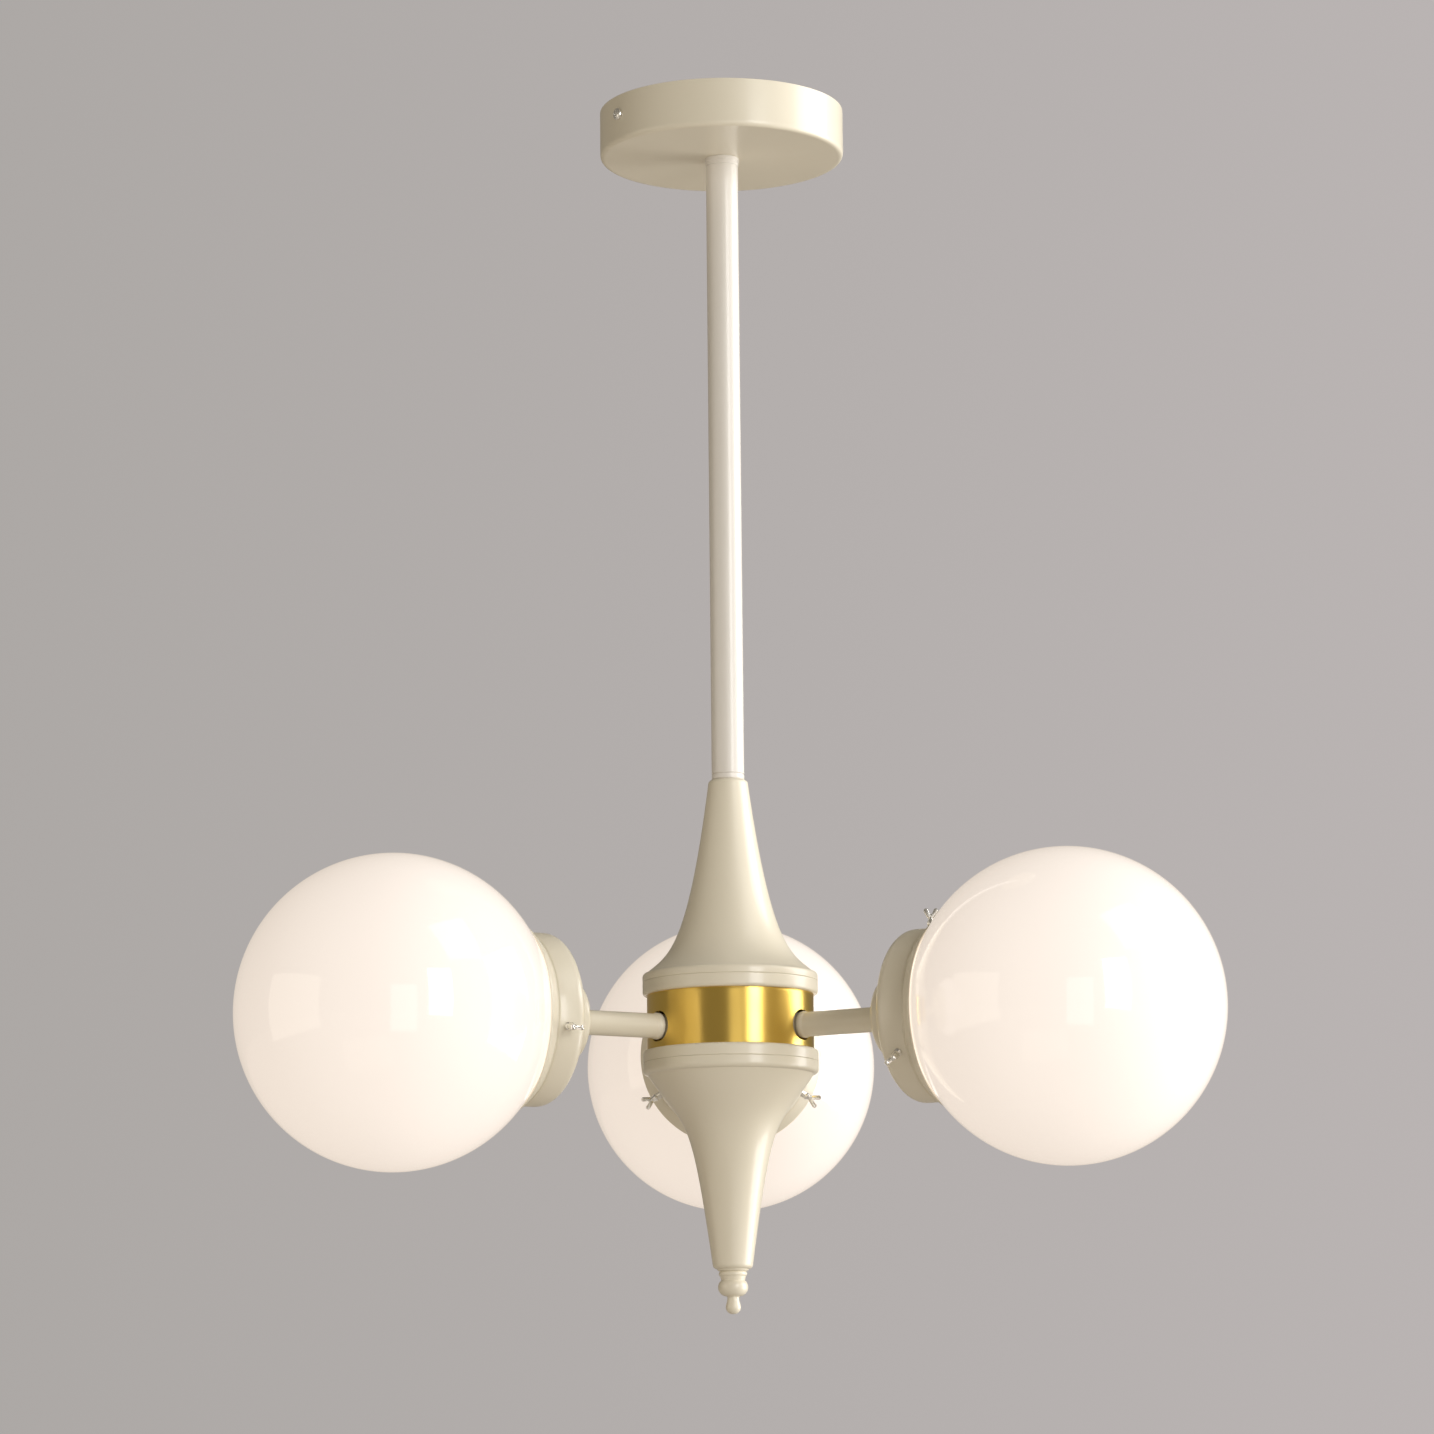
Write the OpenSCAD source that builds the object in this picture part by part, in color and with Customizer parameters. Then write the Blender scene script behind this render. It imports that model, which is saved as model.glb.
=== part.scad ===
// Three-arm ceiling light: a straight stem from a round canopy carries a turned column with a
// brass band, and three arms from the band each hold an opal glass globe.
// The origin is the centre of the ceiling face. +Z is up and the light hangs below it.

/* [Overall] */
// Length of stem tube that shows between its two collars
stem_length = 309; // [120:1:600]
// Distance from the stem's centre line to the middle of each globe
arm_reach = 183; // [170:1:240]
// Direction that each arm points in
arm_directions = [210, 330, 90];
// Height of the arms below the middle of the brass band
arm_drop = 3.3; // [0:0.1:4]

/* [Canopy] */
// Outside diameter of the canopy
canopy_diameter = 122; // [100:1:160]
// Height of the canopy
canopy_height = 24; // [20:1:40]
// Sheet that the canopy, bells and globe holders are pressed from
sheet = 1.2; // [0.8:0.1:2]
// Rounding of the canopy's lower edge
canopy_edge_radius = 2.5; // [1.5:0.5:5]
// Direction of the crossbar and of the two side screws
crossbar_direction = 33.4; // [0:0.1:90]
// Width of the crossbar
crossbar_width = 18; // [14:1:24]
// Thickness of the crossbar
crossbar_thickness = 1.6; // [1.2:0.1:3]
// Distance between the two ceiling screw holes
ceiling_hole_spacing = 70; // [55:1:80]
// Diameter of the ceiling screw holes
ceiling_hole_diameter = 5; // [4:0.5:6]
// Distance of the side screws below the ceiling
side_screw_drop = 10; // [7:0.5:12]

/* [Stem] */
// Outside diameter of the stem tube
stem_diameter = 16; // [14:0.5:22]
// Wall of the stem tube
stem_wall = 1.2; // [0.8:0.1:1.5]
// Height of the stepped collar under the canopy
collar_height = 4; // [3:0.5:8]
// Diameter of the collar's upper step
collar_diameter = 17; // [16.5:0.5:26]
// Height of the plain ring at the foot of the stem
foot_ring_height = 3; // [2:0.5:6]
// Length of each bush inside the stem tube
bush_length = 12; // [8:1:20]

/* [Column] */
// Height of each bell
bell_height = 100; // [85:1:140]
// Diameter of the bells' rims and of the two plates
rim_diameter = 85.6; // [84:0.2:110]
// Diameter of the bells' narrow ends
neck_diameter = 19.6; // [17:0.2:24]
// Height of the plain edge round the wide end of the upper bell
upper_rim_height = 4.5; // [3:0.5:8]
// Height of the plain edge round the wide end of the lower bell
lower_rim_height = 6; // [3:0.5:8]
// Thickness of the plate between the upper bell and the band
upper_plate_height = 6.5; // [5:0.5:10]
// Thickness of the plate between the band and the lower bell
lower_plate_height = 6; // [5:0.5:10]
// Outside diameter of the brass band
band_diameter = 81.4; // [80:0.2:83]
// Height of the brass band
band_height = 27; // [26:1:36]
// Wall of the brass band
band_wall = 1.5; // [1:0.1:2]
// Height of the slot that each arm passes through in the band
band_slot_height = 14.6; // [14:0.2:16]
// Width of the same slot
band_slot_width = 17; // [16:0.2:19]
// Width across the flats of the hub inside the band
hub_width = 58; // [54:1:62]
// Wall of the hub
hub_wall = 4; // [3:0.5:6]
// Height of the finial
finial_height = 22; // [18:1:30]

/* [Arms] */
// Outside diameter of the arm tubes
arm_diameter = 12; // [11.5:0.5:12.5]
// Bore of the arm tubes
arm_bore = 8.4; // [8.4:0.1:9]
// Diameter of the threaded rod inside each arm
arm_rod_diameter = 8; // [7.4:0.1:8]
// Bore of the threaded rod, which takes the lead
arm_rod_bore = 5; // [4.5:0.1:5.5]

/* [Globe holders] */
// Outside diameter of the holder's cup
cup_diameter = 83; // [82:0.5:90]
// Depth of the cup from its back to its lip
cup_depth = 22.5; // [20:0.5:26]
// Diameter of the rolled lip that meets the glass
lip_diameter = 92.4; // [88:0.2:100]
// Rounding between the cup's back and its wall
cup_shoulder_radius = 5.5; // [3:0.5:8]
// Diameter of the boss behind the cup
boss_diameter = 39.2; // [37:0.2:44]
// Length of the boss
boss_length = 14; // [12:0.5:20]
// Turn of each arm's three thumb screws about the arm
screw_turns = [20, 0, 0];
// Turn of the thumb screws' wings on each arm, from the arm's direction
wing_turns = [0, 30, 90];
// Distance of the thumb screws from the back of the cup
screw_setback = 10.5; // [8:0.5:11]
// Thread diameter of the thumb screws
screw_diameter = 3.8; // [3:0.1:4.5]
// Width across the thumb screws' two wings
wing_span = 7; // [6:0.2:8]
// Distance that each thumb screw stands out of the cup
screw_stand = 9.8; // [8:0.2:12]

/* [Globes] */
// Outside diameter of the glass globes
globe_diameter = 150; // [140:1:160]
// Wall of the glass
glass_wall = 3; // [2:0.5:4]
// Outside diameter of the globe's neck
globe_neck_diameter = 75; // [70:0.5:75.5]
// Thickness of the bead round the end of the neck
bead_thickness = 3.2; // [2:0.2:3.2]

/* [Lamps] */
// Diameter of the round part of the lamp
lamp_diameter = 45; // [35:1:60]
// Length of the lamp with its cap
lamp_length = 78; // [74:1:110]
// Diameter of the lamp's screw cap
cap_diameter = 26.4; // [14:0.2:26.6]
// Outside diameter of the lamp holder
lamp_holder_diameter = 34; // [33:0.5:35]
// Length of the lamp holder
lamp_holder_length = 27; // [24:1:32]

/* [Wiring] */
// Diameter of the supply lead in the stem
supply_lead_diameter = 4.4; // [3:0.2:5]
// Diameter of the lead in each arm
arm_lead_diameter = 3.6; // [2.4:0.2:4]

/* [Hidden] */

$fn = 96;
arms = [0:2];
quarter_steps = 6;
curve_steps = 20;
cut = 1;

// Fits
thread_gap = 0.05;
shaft_gap = 0.05;
passing_gap = 0.2;
seat_gap = 0.25;
paint_line = 0.5;

// Threaded pipe, nuts and screws
pipe_diameter = 9.8;
pipe_bore = 7;
pipe_nut_width = 16;
pipe_nut_height = 4;
pipe_hole = pipe_diameter + 2 * passing_gap;
rod_nut_width = 13;
rod_nut_height = 4;
rod_hole = arm_rod_diameter + 2 * passing_gap;
machine_screw = 3.9;
machine_screw_head = 6;
machine_screw_head_height = 2;
washer_thickness = 1;
washer_diameter = 18;

// Heights, from the ceiling down
canopy_bottom = -canopy_height;
collar_bottom = canopy_bottom - collar_height;
stem_bottom = collar_bottom - stem_length;
upper_bell_top = stem_bottom - foot_ring_height;
upper_bell_bottom = upper_bell_top - bell_height;
band_top = upper_bell_bottom - upper_plate_height;
band_middle = band_top - band_height / 2;
band_bottom = band_top - band_height;
lower_bell_top = band_bottom - lower_plate_height;
lower_bell_bottom = lower_bell_top - bell_height;
arm_height = band_middle - arm_drop;

// Hub, which stands between the locating steps of the two plates
plate_step = 1;
plate_rounding = 3.5;
hub_top = band_top - plate_step;
hub_bottom = band_bottom + plate_step;
hub_face = hub_width / 2;
hub_cavity_top = hub_top - hub_wall;
hub_inner_face = hub_face - hub_wall;

// Places along an arm, from the stem's centre line
lip_gap = 0.4;
cup_front = glass_face(lip_diameter / 2);
cup_back = cup_front - cup_depth;
boss_back = cup_back - boss_length;
screw_place = cup_back + screw_setback;
neck_end = cup_back + sheet + 1.2;
rod_inner_end = hub_inner_face - rod_nut_height - 2;
holder_nut_place = boss_back + sheet;
lamp_holder_back = holder_nut_place + rod_nut_height;
lamp_holder_floor = lamp_holder_back + 8;
lamp_holder_front = lamp_holder_back + lamp_holder_length;
rod_outer_end = lamp_holder_back + 5;
lamp_back = lamp_holder_floor + 0.5;
arm_collar_diameter = arm_diameter + 1;
arm_collar_length = 3;
bead_radius = bead_thickness / 2;
bead_outer = globe_neck_diameter / 2 + bead_radius;
screw_tip = bead_outer + seat_gap;

// Distance along the arm to the lip's seat on the glass at a radius
function glass_face(r) = arm_reach - sqrt(pow(globe_diameter / 2 + lip_gap, 2) - r * r);

// Points on a cubic curve from a to d with handles b and c
function curve(a, b, c, d, steps) = [
    for (s = [0:steps]) let (t = s / steps, u = 1 - t)
        u * u * u * a + 3 * u * u * t * b + 3 * u * t * t * c + t * t * t * d
];

// Unit normals of the same curve, on its inner side
function curve_inward(a, b, c, d, steps) = [
    for (s = [0:steps]) let (
        t = s / steps,
        u = 1 - t,
        v = u * u * (b - a) + 2 * u * t * (c - b) + t * t * (d - c)
    ) [-v[1], v[0]] / norm(v)
];

// Points on an arc about a centre
function arc(centre, radius, from, to, steps = quarter_steps) = [
    for (s = [0:steps]) let (a = from + (to - from) * s / steps)
        centre + radius * [cos(a), sin(a)]
];

function reversed(list) = [for (i = [len(list) - 1:-1:0]) list[i]];
function mirrored(list) = [for (p = list) [p[0], -p[1]]];

// Turns a shape drawn along +X from the stem's centre line out along an arm
module on_arm(i) {
    translate([0, 0, arm_height]) rotate([0, 0, arm_directions[i]]) children();
}

// Turns an outline of [radius, distance along] points about the +X axis
module turned_along_x(outline) {
    rotate([0, 90, 0]) rotate_extrude() polygon(outline);
}

// A round bar or hole along +X
module bar_x(from, to, diameter) {
    translate([from, 0, 0]) rotate([0, 90, 0]) cylinder(h = to - from, d = diameter);
}

// A round bar or hole along +Z
module bar_z(from, to, diameter) {
    translate([0, 0, from]) cylinder(h = to - from, d = diameter);
}

// A hexagonal nut along +X with flats at top and bottom
module nut_x(from, height, width, bore) {
    difference() {
        translate([from, 0, 0]) rotate([0, 90, 0])
            cylinder(h = height, d = width / cos(30), $fn = 6);
        bar_x(from - cut, from + height + cut, bore);
    }
}

// A hexagonal nut along +Z
module nut_z(from, height, width, bore) {
    difference() {
        translate([0, 0, from]) cylinder(h = height, d = width / cos(30), $fn = 6);
        bar_z(from - cut, from + height + cut, bore);
    }
}

// A pan-headed screw whose shank runs along -X from the seat under its head
module pan_screw(shank_length) {
    crown = 0.8;
    turned_along_x([
        [0, -shank_length],
        [machine_screw / 2, -shank_length],
        [machine_screw / 2, 0],
        [machine_screw_head / 2, 0],
        [machine_screw_head / 2, machine_screw_head_height - crown],
        [machine_screw_head / 3, machine_screw_head_height],
        [0, machine_screw_head_height]
    ]);
}

// A wire that bends in one upright plane, through [distance out, height] points
module flat_wire(points, diameter, sides = 8) {
    last = len(points) - 1;
    tangents = [
        for (i = [0:last])
            let (v = points[min(i + 1, last)] - points[max(i - 1, 0)]) v / norm(v)
    ];
    rings = [
        for (i = [0:last]) for (s = [0:sides - 1])
            let (a = 360 * s / sides, out = diameter / 2 * cos(a), side = diameter / 2 * sin(a))
                [points[i][0] - tangents[i][1] * out, side, points[i][1] + tangents[i][0] * out]
    ];
    walls = [
        for (i = [0:last - 1]) for (s = [0:sides - 1])
            let (a = i * sides + s, b = i * sides + (s + 1) % sides)
                [a, b, b + sides, a + sides]
    ];
    start = [for (s = [sides - 1:-1:0]) s];
    end = [for (s = [0:sides - 1]) last * sides + s];
    polyhedron(points = rings, faces = concat([start], walls, [end]));
}

// ---- Ceiling end ----

earth_screw_place = -20;
crossbar_reach = canopy_diameter / 2 - sheet - 1;
tab_drop = side_screw_drop + 5;

module along_crossbar() {
    rotate([0, 0, crossbar_direction]) children();
}

// Steel strip against the ceiling, with its two ends bent down and tapped
module ceiling_bracket() {
    color("silver") along_crossbar() difference() {
        union() {
            translate([-crossbar_reach, -crossbar_width / 2, -crossbar_thickness])
                cube([2 * crossbar_reach, crossbar_width, crossbar_thickness]);
            for (side = [0, 180]) rotate([0, 0, side])
                translate([crossbar_reach - crossbar_thickness, -crossbar_width / 2, -tab_drop])
                    cube([crossbar_thickness, crossbar_width, tab_drop]);
        }
        for (side = [-1, 1]) translate([side * ceiling_hole_spacing / 2, 0, 0])
            bar_z(-crossbar_thickness - cut, cut, ceiling_hole_diameter);
        translate([0, 0, -side_screw_drop])
            bar_x(-crossbar_reach - cut, crossbar_reach + cut, machine_screw + 2 * thread_gap);
        translate([earth_screw_place, 0, 0])
            bar_z(-crossbar_thickness - cut, cut, machine_screw + 2 * thread_gap);
    }
}

// Earthing screw, up through the crossbar from below
module earth_screw() {
    color("goldenrod") along_crossbar()
        translate([earth_screw_place, 0, -crossbar_thickness]) rotate([0, 90, 0])
            pan_screw(crossbar_thickness);
}

// Pressed pan that covers the crossbar, with a hole for the stem and two for the side screws
module canopy() {
    r = canopy_diameter / 2;
    edge = canopy_edge_radius;
    inner_edge = edge - sheet;
    color("ivory") difference() {
        rotate_extrude() polygon(concat(
            [[r - sheet, 0], [r, 0]],
            arc([r - edge, canopy_bottom + edge], edge, 0, -90),
            [[0, canopy_bottom], [0, canopy_bottom + sheet]],
            arc([r - edge, canopy_bottom + edge], inner_edge, -90, 0)
        ));
        bar_z(canopy_bottom - cut, canopy_bottom + sheet + cut, pipe_hole);
        along_crossbar() translate([0, 0, -side_screw_drop])
            bar_x(-r - cut, r + cut, machine_screw + 2 * passing_gap);
    }
}

// Two pan-headed screws through the canopy's side into the crossbar's tabs
module canopy_screws() {
    color("gainsboro") along_crossbar() translate([0, 0, -side_screw_drop])
        for (side = [0, 180]) rotate([0, 0, side]) translate([canopy_diameter / 2, 0, 0])
            pan_screw(sheet + 4);
}

canopy_washer_top = canopy_bottom + sheet + washer_thickness;

// Washer under the nut inside the canopy
module canopy_washer() {
    color("silver") difference() {
        bar_z(canopy_bottom + sheet, canopy_washer_top, washer_diameter);
        bar_z(canopy_bottom, canopy_washer_top + cut, pipe_hole);
    }
}

// Nut that holds the stem's nipple to the canopy
module canopy_nut() {
    color("silver") nut_z(canopy_washer_top, pipe_nut_height, pipe_nut_width,
        pipe_diameter + 2 * thread_gap);
}

terminal_block_size = [13, 24, 10];
terminal_block_place = 30;

// Three-way terminal block, on the canopy's floor beside the crossbar
module terminal_block() {
    color("white") rotate([0, 0, crossbar_direction + 90])
        translate([terminal_block_place, 0, canopy_bottom + sheet]) difference() {
            translate([-terminal_block_size[0] / 2, -terminal_block_size[1] / 2, 0])
                cube(terminal_block_size);
            for (way = [-1:1]) translate([0, way * 8, 0]) {
                translate([0, 0, terminal_block_size[2] / 2])
                    bar_x(-terminal_block_size[0], -1, 3);
                translate([-3, 0, 0]) bar_z(terminal_block_size[2] / 2, terminal_block_size[2] + cut, 3);
            }
        }
}

// ---- Stem ----

nipple_top = canopy_washer_top + pipe_nut_height + 2;
nipple_bottom = collar_bottom - bush_length + 2;
stem_bore = stem_diameter - 2 * stem_wall;

// Hollow threaded nipple from the canopy nut into the stem's top bush
module top_nipple() {
    color("silver") difference() {
        bar_z(nipple_bottom, nipple_top, pipe_diameter);
        bar_z(nipple_bottom - cut, nipple_top + cut, pipe_bore);
    }
}

// Stepped collar under the canopy, with a tapped spigot inside the stem tube
module stem_top_bush() {
    step = collar_height / 2;
    lower_step = (collar_diameter + stem_diameter) / 4;
    color("ivory") difference() {
        rotate_extrude() polygon([
            [0, canopy_bottom],
            [collar_diameter / 2 - paint_line / 2, canopy_bottom],
            [collar_diameter / 2, canopy_bottom - paint_line / 2],
            [collar_diameter / 2, canopy_bottom - step + paint_line / 2],
            [lower_step, canopy_bottom - step],
            [lower_step, collar_bottom],
            [stem_bore / 2 - shaft_gap, collar_bottom],
            [stem_bore / 2 - shaft_gap, collar_bottom - bush_length],
            [0, collar_bottom - bush_length]
        ]);
        bar_z(collar_bottom - bush_length - cut, canopy_bottom + cut, pipe_diameter + 2 * thread_gap);
    }
}

// Plain tube between the two bushes
module stem_tube() {
    color("ivory") difference() {
        bar_z(stem_bottom, collar_bottom, stem_diameter);
        bar_z(stem_bottom - cut, collar_bottom + cut, stem_bore);
    }
}

// Plain ring at the foot of the stem, with a tapped spigot inside the tube
module stem_foot_bush() {
    r = stem_diameter / 2;
    chamfer = paint_line;
    color("ivory") difference() {
        rotate_extrude() polygon([
            [0, upper_bell_top],
            [r - chamfer, upper_bell_top],
            [r, upper_bell_top + chamfer],
            [r, stem_bottom - chamfer],
            [r - chamfer, stem_bottom],
            [stem_bore / 2 - shaft_gap, stem_bottom],
            [stem_bore / 2 - shaft_gap, stem_bottom + bush_length],
            [0, stem_bottom + bush_length]
        ]);
        bar_z(upper_bell_top - cut, stem_bottom + bush_length + cut, pipe_diameter + 2 * thread_gap);
    }
}

// ---- Column ----

pipe_top = stem_bottom + bush_length - 2;
finial_thread = 8;
pipe_bottom = lower_bell_bottom - finial_thread + 1;
pipe_window = [5, 14];

// Hollow threaded pipe that ties the column together, with a window for the leads in the hub
module centre_pipe() {
    color("silver") difference() {
        bar_z(pipe_bottom, pipe_top, pipe_diameter);
        bar_z(pipe_bottom - cut, pipe_top + cut, pipe_bore);
        rotate([0, 0, arm_directions[0]])
            translate([0, -pipe_window[0] / 2, arm_height - pipe_window[1] / 2])
                cube([pipe_diameter, pipe_window[0], pipe_window[1]]);
    }
}

neck_shoulder = 2.2;

// Outside and inside of a bell as [radius, distance from its narrow end] points.
// The flare is a cubic curve that leaves the neck and reaches the rim with the given slopes.
function bell_outline(rim_height, foot, neck_slope, neck_pull, foot_slope, foot_pull) =
    let (
        neck = neck_diameter / 2,
        rim = rim_diameter / 2,
        end = bell_height - rim_height,
        a = [neck, neck_shoulder],
        b = a + neck_pull * [neck_slope, 1],
        d = [rim - foot, end],
        c = d - foot_pull * [foot_slope, 1],
        flare = curve(a, b, c, d, curve_steps),
        inward = curve_inward(a, b, c, d, curve_steps),
        inside = [for (i = [0:curve_steps]) flare[i] + sheet * inward[i]],
        shoulder = arc([neck - neck_shoulder, neck_shoulder], neck_shoulder, -90, 0),
        rounding = arc([rim - foot, end + foot], foot, -60, 0),
        inner_end = [rim - sheet, end + foot + sheet]
    ) concat(
        [[pipe_hole / 2, 0]],
        [for (i = [0:quarter_steps - 1]) shoulder[i]],
        flare,
        [for (i = [1:quarter_steps]) rounding[i]],
        [[rim, bell_height - paint_line], [rim - paint_line, bell_height]],
        [[rim - sheet - paint_line, bell_height], inner_end],
        reversed([for (p = inside) if (p[1] > sheet + neck_shoulder) p]),
        [[inside[0][0], sheet + neck_shoulder], [pipe_hole / 2, sheet + neck_shoulder]]
    );

// Spun bell that widens from the stem down to the band
module upper_bell() {
    outline = bell_outline(rim_height = upper_rim_height, foot = 2, neck_slope = 0.134,
        neck_pull = 82, foot_slope = 1.18, foot_pull = 9);
    color("ivory") translate([0, 0, upper_bell_top]) rotate_extrude() polygon(mirrored(outline));
}

// Spun bell that narrows from the band down to the finial, with a fuller flare
module lower_bell() {
    outline = bell_outline(rim_height = lower_rim_height, foot = 2.4, neck_slope = 0.137,
        neck_pull = 78, foot_slope = 0.66, foot_pull = 28);
    color("ivory") translate([0, 0, lower_bell_bottom]) rotate_extrude() polygon(outline);
}

// Turned plate as [radius, distance from its bell] points, with a step that fits in the band
function plate_outline(height) =
    let (
        r = rim_diameter / 2,
        step = band_diameter / 2 - band_wall - seat_gap
    ) concat(
        [[pipe_hole / 2, 0], [r - paint_line, 0], [r, paint_line]],
        arc([r - plate_rounding, height - plate_rounding], plate_rounding, 0, 90),
        [[step, height], [step, height + plate_step], [pipe_hole / 2, height + plate_step]]
    );

// Plate between the upper bell and the band
module upper_plate() {
    color("ivory") translate([0, 0, upper_bell_bottom])
        rotate_extrude() polygon(mirrored(plate_outline(upper_plate_height)));
}

// Plate between the band and the lower bell
module lower_plate() {
    color("ivory") translate([0, 0, lower_bell_top])
        rotate_extrude() polygon(plate_outline(lower_plate_height));
}

// Brass ring round the hub, with a round-ended slot for each arm
module brass_band() {
    half_run = (band_slot_width - band_slot_height) / 2;
    color("goldenrod") difference() {
        bar_z(band_bottom, band_top, band_diameter);
        bar_z(band_bottom - cut, band_top + cut, band_diameter - 2 * band_wall);
        for (i = arms) on_arm(i) {
            for (side = [-1, 1]) translate([0, side * half_run, 0])
                bar_x(hub_face, band_diameter, band_slot_height);
            translate([hub_face, -half_run, -band_slot_height / 2])
                cube([band_diameter, 2 * half_run, band_slot_height]);
        }
    }
}

// Six-sided hub, open below, whose flats take the arms
module hub() {
    color("dimgray") rotate([0, 0, arm_directions[0]]) difference() {
        translate([0, 0, hub_bottom]) rotate([0, 0, 30])
            cylinder(h = hub_top - hub_bottom, d = hub_width / cos(30), $fn = 6);
        translate([0, 0, hub_bottom - cut]) rotate([0, 0, 30])
            cylinder(h = hub_cavity_top - hub_bottom + cut, d = 2 * hub_inner_face / cos(30), $fn = 6);
        bar_z(hub_cavity_top - cut, hub_top + cut, pipe_hole);
        for (turn = [0, 120, 240]) translate([0, 0, arm_height]) rotate([0, 0, turn])
            bar_x(hub_inner_face - cut, hub_face + cut, rod_hole);
    }
}

// Nuts on the pipe above the upper plate and below the lower plate
module pipe_nuts() {
    color("silver") for (z = [upper_bell_bottom, lower_bell_top - pipe_nut_height])
        nut_z(z, pipe_nut_height, pipe_nut_width, pipe_diameter + 2 * thread_gap);
}

// Turned finial that screws onto the pipe and holds up the lower bell
module finial() {
    ring = [5.6, -2.4];
    ball = [2.9, -8.8];
    drop = [0.4, 3.4 - finial_height];
    drop_radius = 3.25;
    stalk = 2.8;
    stalk_top = -13.6;
    color("ivory") translate([0, 0, lower_bell_bottom]) difference() {
        rotate_extrude() polygon(concat(
            [[0, 0], [neck_diameter / 2 - 2, 0], [neck_diameter / 2 - 2.4, -0.8]],
            arc(ring, 1.3, 60, -60),
            arc(ball, 4.4, 50, -85, 12),
            curve([stalk, stalk_top], [stalk, stalk_top - 1.6],
                [drop[0] + drop_radius, drop[1] + 1.8], [drop[0] + drop_radius, drop[1]], 6),
            arc(drop, drop_radius, -15, -90),
            [[0, drop[1] - drop_radius]]
        ));
        bar_z(-finial_thread, cut, pipe_diameter + 2 * thread_gap);
    }
}

// ---- Arms ----

// Tube between the hub and the globe holder, with a slightly wider end in the band's hole
module arm_tube(i) {
    r = arm_diameter / 2;
    wide = arm_collar_diameter / 2;
    collar_start = band_diameter / 2 - 0.5;
    collar_end = collar_start + arm_collar_length;
    color("ivory") on_arm(i) turned_along_x([
        [arm_bore / 2, hub_face],
        [r, hub_face],
        [r, collar_start - 1],
        [wide, collar_start],
        [wide, collar_end - 1],
        [r, collar_end],
        [r, boss_back],
        [arm_bore / 2, boss_back]
    ]);
}

// Hollow threaded rod that pulls the arm together
module arm_rod(i) {
    color("silver") on_arm(i) difference() {
        bar_x(rod_inner_end, rod_outer_end, arm_rod_diameter);
        bar_x(rod_inner_end - cut, rod_outer_end + cut, arm_rod_bore);
    }
}

// Nuts on the inner ends of the arm rods
module hub_nuts() {
    color("silver") for (i = arms) on_arm(i)
        nut_x(hub_inner_face - rod_nut_height, rod_nut_height, rod_nut_width,
            arm_rod_diameter + 2 * thread_gap);
}

// Nuts on the outer ends of the arm rods, inside the bosses of the globe holders
module holder_nuts() {
    color("silver") for (i = arms) on_arm(i)
        nut_x(holder_nut_place, rod_nut_height, rod_nut_width, arm_rod_diameter + 2 * thread_gap);
}

// Spun holder: a boss on the arm, a round-shouldered cup and a flared lip against the glass
module globe_holder(i) {
    boss = boss_diameter / 2;
    cup = cup_diameter / 2;
    lip = lip_diameter / 2;
    shoulder = cup_shoulder_radius;
    bend = 3;
    groove = 0.5;
    lip_back = 2.2;
    groove_place = glass_face(cup) - 3.6;
    outside = concat(
        [[0, boss_back]],
        arc([boss - bend, boss_back + bend], bend, -90, 0),
        arc([boss + bend, cup_back - bend], bend, 180, 90),
        arc([cup - shoulder, cup_back + shoulder], shoulder, -90, 0),
        [[cup, groove_place - groove], [cup - groove, groove_place]],
        curve([cup - groove, groove_place + groove], [cup + 1, groove_place + 1],
            [lip - 2, cup_front - lip_back - 1], [lip - 0.4, cup_front - lip_back + 0.5], quarter_steps),
        [[lip, cup_front - 0.9], [lip, cup_front - 0.4]]
    );
    inside = concat(
        [for (r = [lip - 0.4:-1:cup - sheet + 0.6]) [r, glass_face(r)]],
        [[cup - sheet, groove_place - groove]],
        arc([cup - shoulder, cup_back + shoulder], shoulder - sheet, 0, -90),
        arc([boss + bend, cup_back - bend], bend + sheet, 90, 180),
        arc([boss - bend, boss_back + bend], bend - sheet, 0, -90),
        [[0, boss_back + sheet]]
    );
    color("ivory") on_arm(i) difference() {
        turned_along_x(concat(outside, inside));
        bar_x(boss_back - cut, boss_back + sheet + cut, rod_hole);
        for (k = arms) at_thumb_screw(i, k)
            bar_z(cup - 2 * sheet, cup + cut, screw_diameter + 2 * shaft_gap);
    }
}

// Turns a shape drawn up from the arm's centre line to one of the three thumb screws
module at_thumb_screw(i, k) {
    translate([screw_place, 0, 0]) rotate([screw_turns[i] + 120 * k, 0, 0]) children();
}

// Thumb screw with a waisted neck and two short round-ended wings
module thumb_screw(i, k) {
    cup = cup_diameter / 2;
    top = cup + screw_stand;
    shank = screw_diameter / 2;
    waist = shank - 0.5;
    wing_depth = 5;
    wing_thickness = 2.2;
    wing_end = 1.15;
    wing_end_place = wing_span / 2 - wing_end;
    color("gainsboro") on_arm(i) at_thumb_screw(i, k) {
        rotate_extrude() polygon([
            [0, screw_tip],
            [shank - 0.4, screw_tip],
            [shank, screw_tip + 0.4],
            [shank, cup + 3.2],
            [waist, cup + 4],
            [waist, top - wing_depth + 1],
            [0, top - wing_depth + 1]
        ]);
        rotate([90, 0, wing_turns[i]]) linear_extrude(height = wing_thickness, center = true)
            polygon(concat(
                [[-waist, top - wing_depth], [waist, top - wing_depth]],
                arc([wing_end_place, top - wing_end], wing_end, -35, 150),
                [[0.4, top - 2.9], [-0.4, top - 2.9]],
                arc([-wing_end_place, top - wing_end], wing_end, 30, 215)
            ));
    }
}

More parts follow.
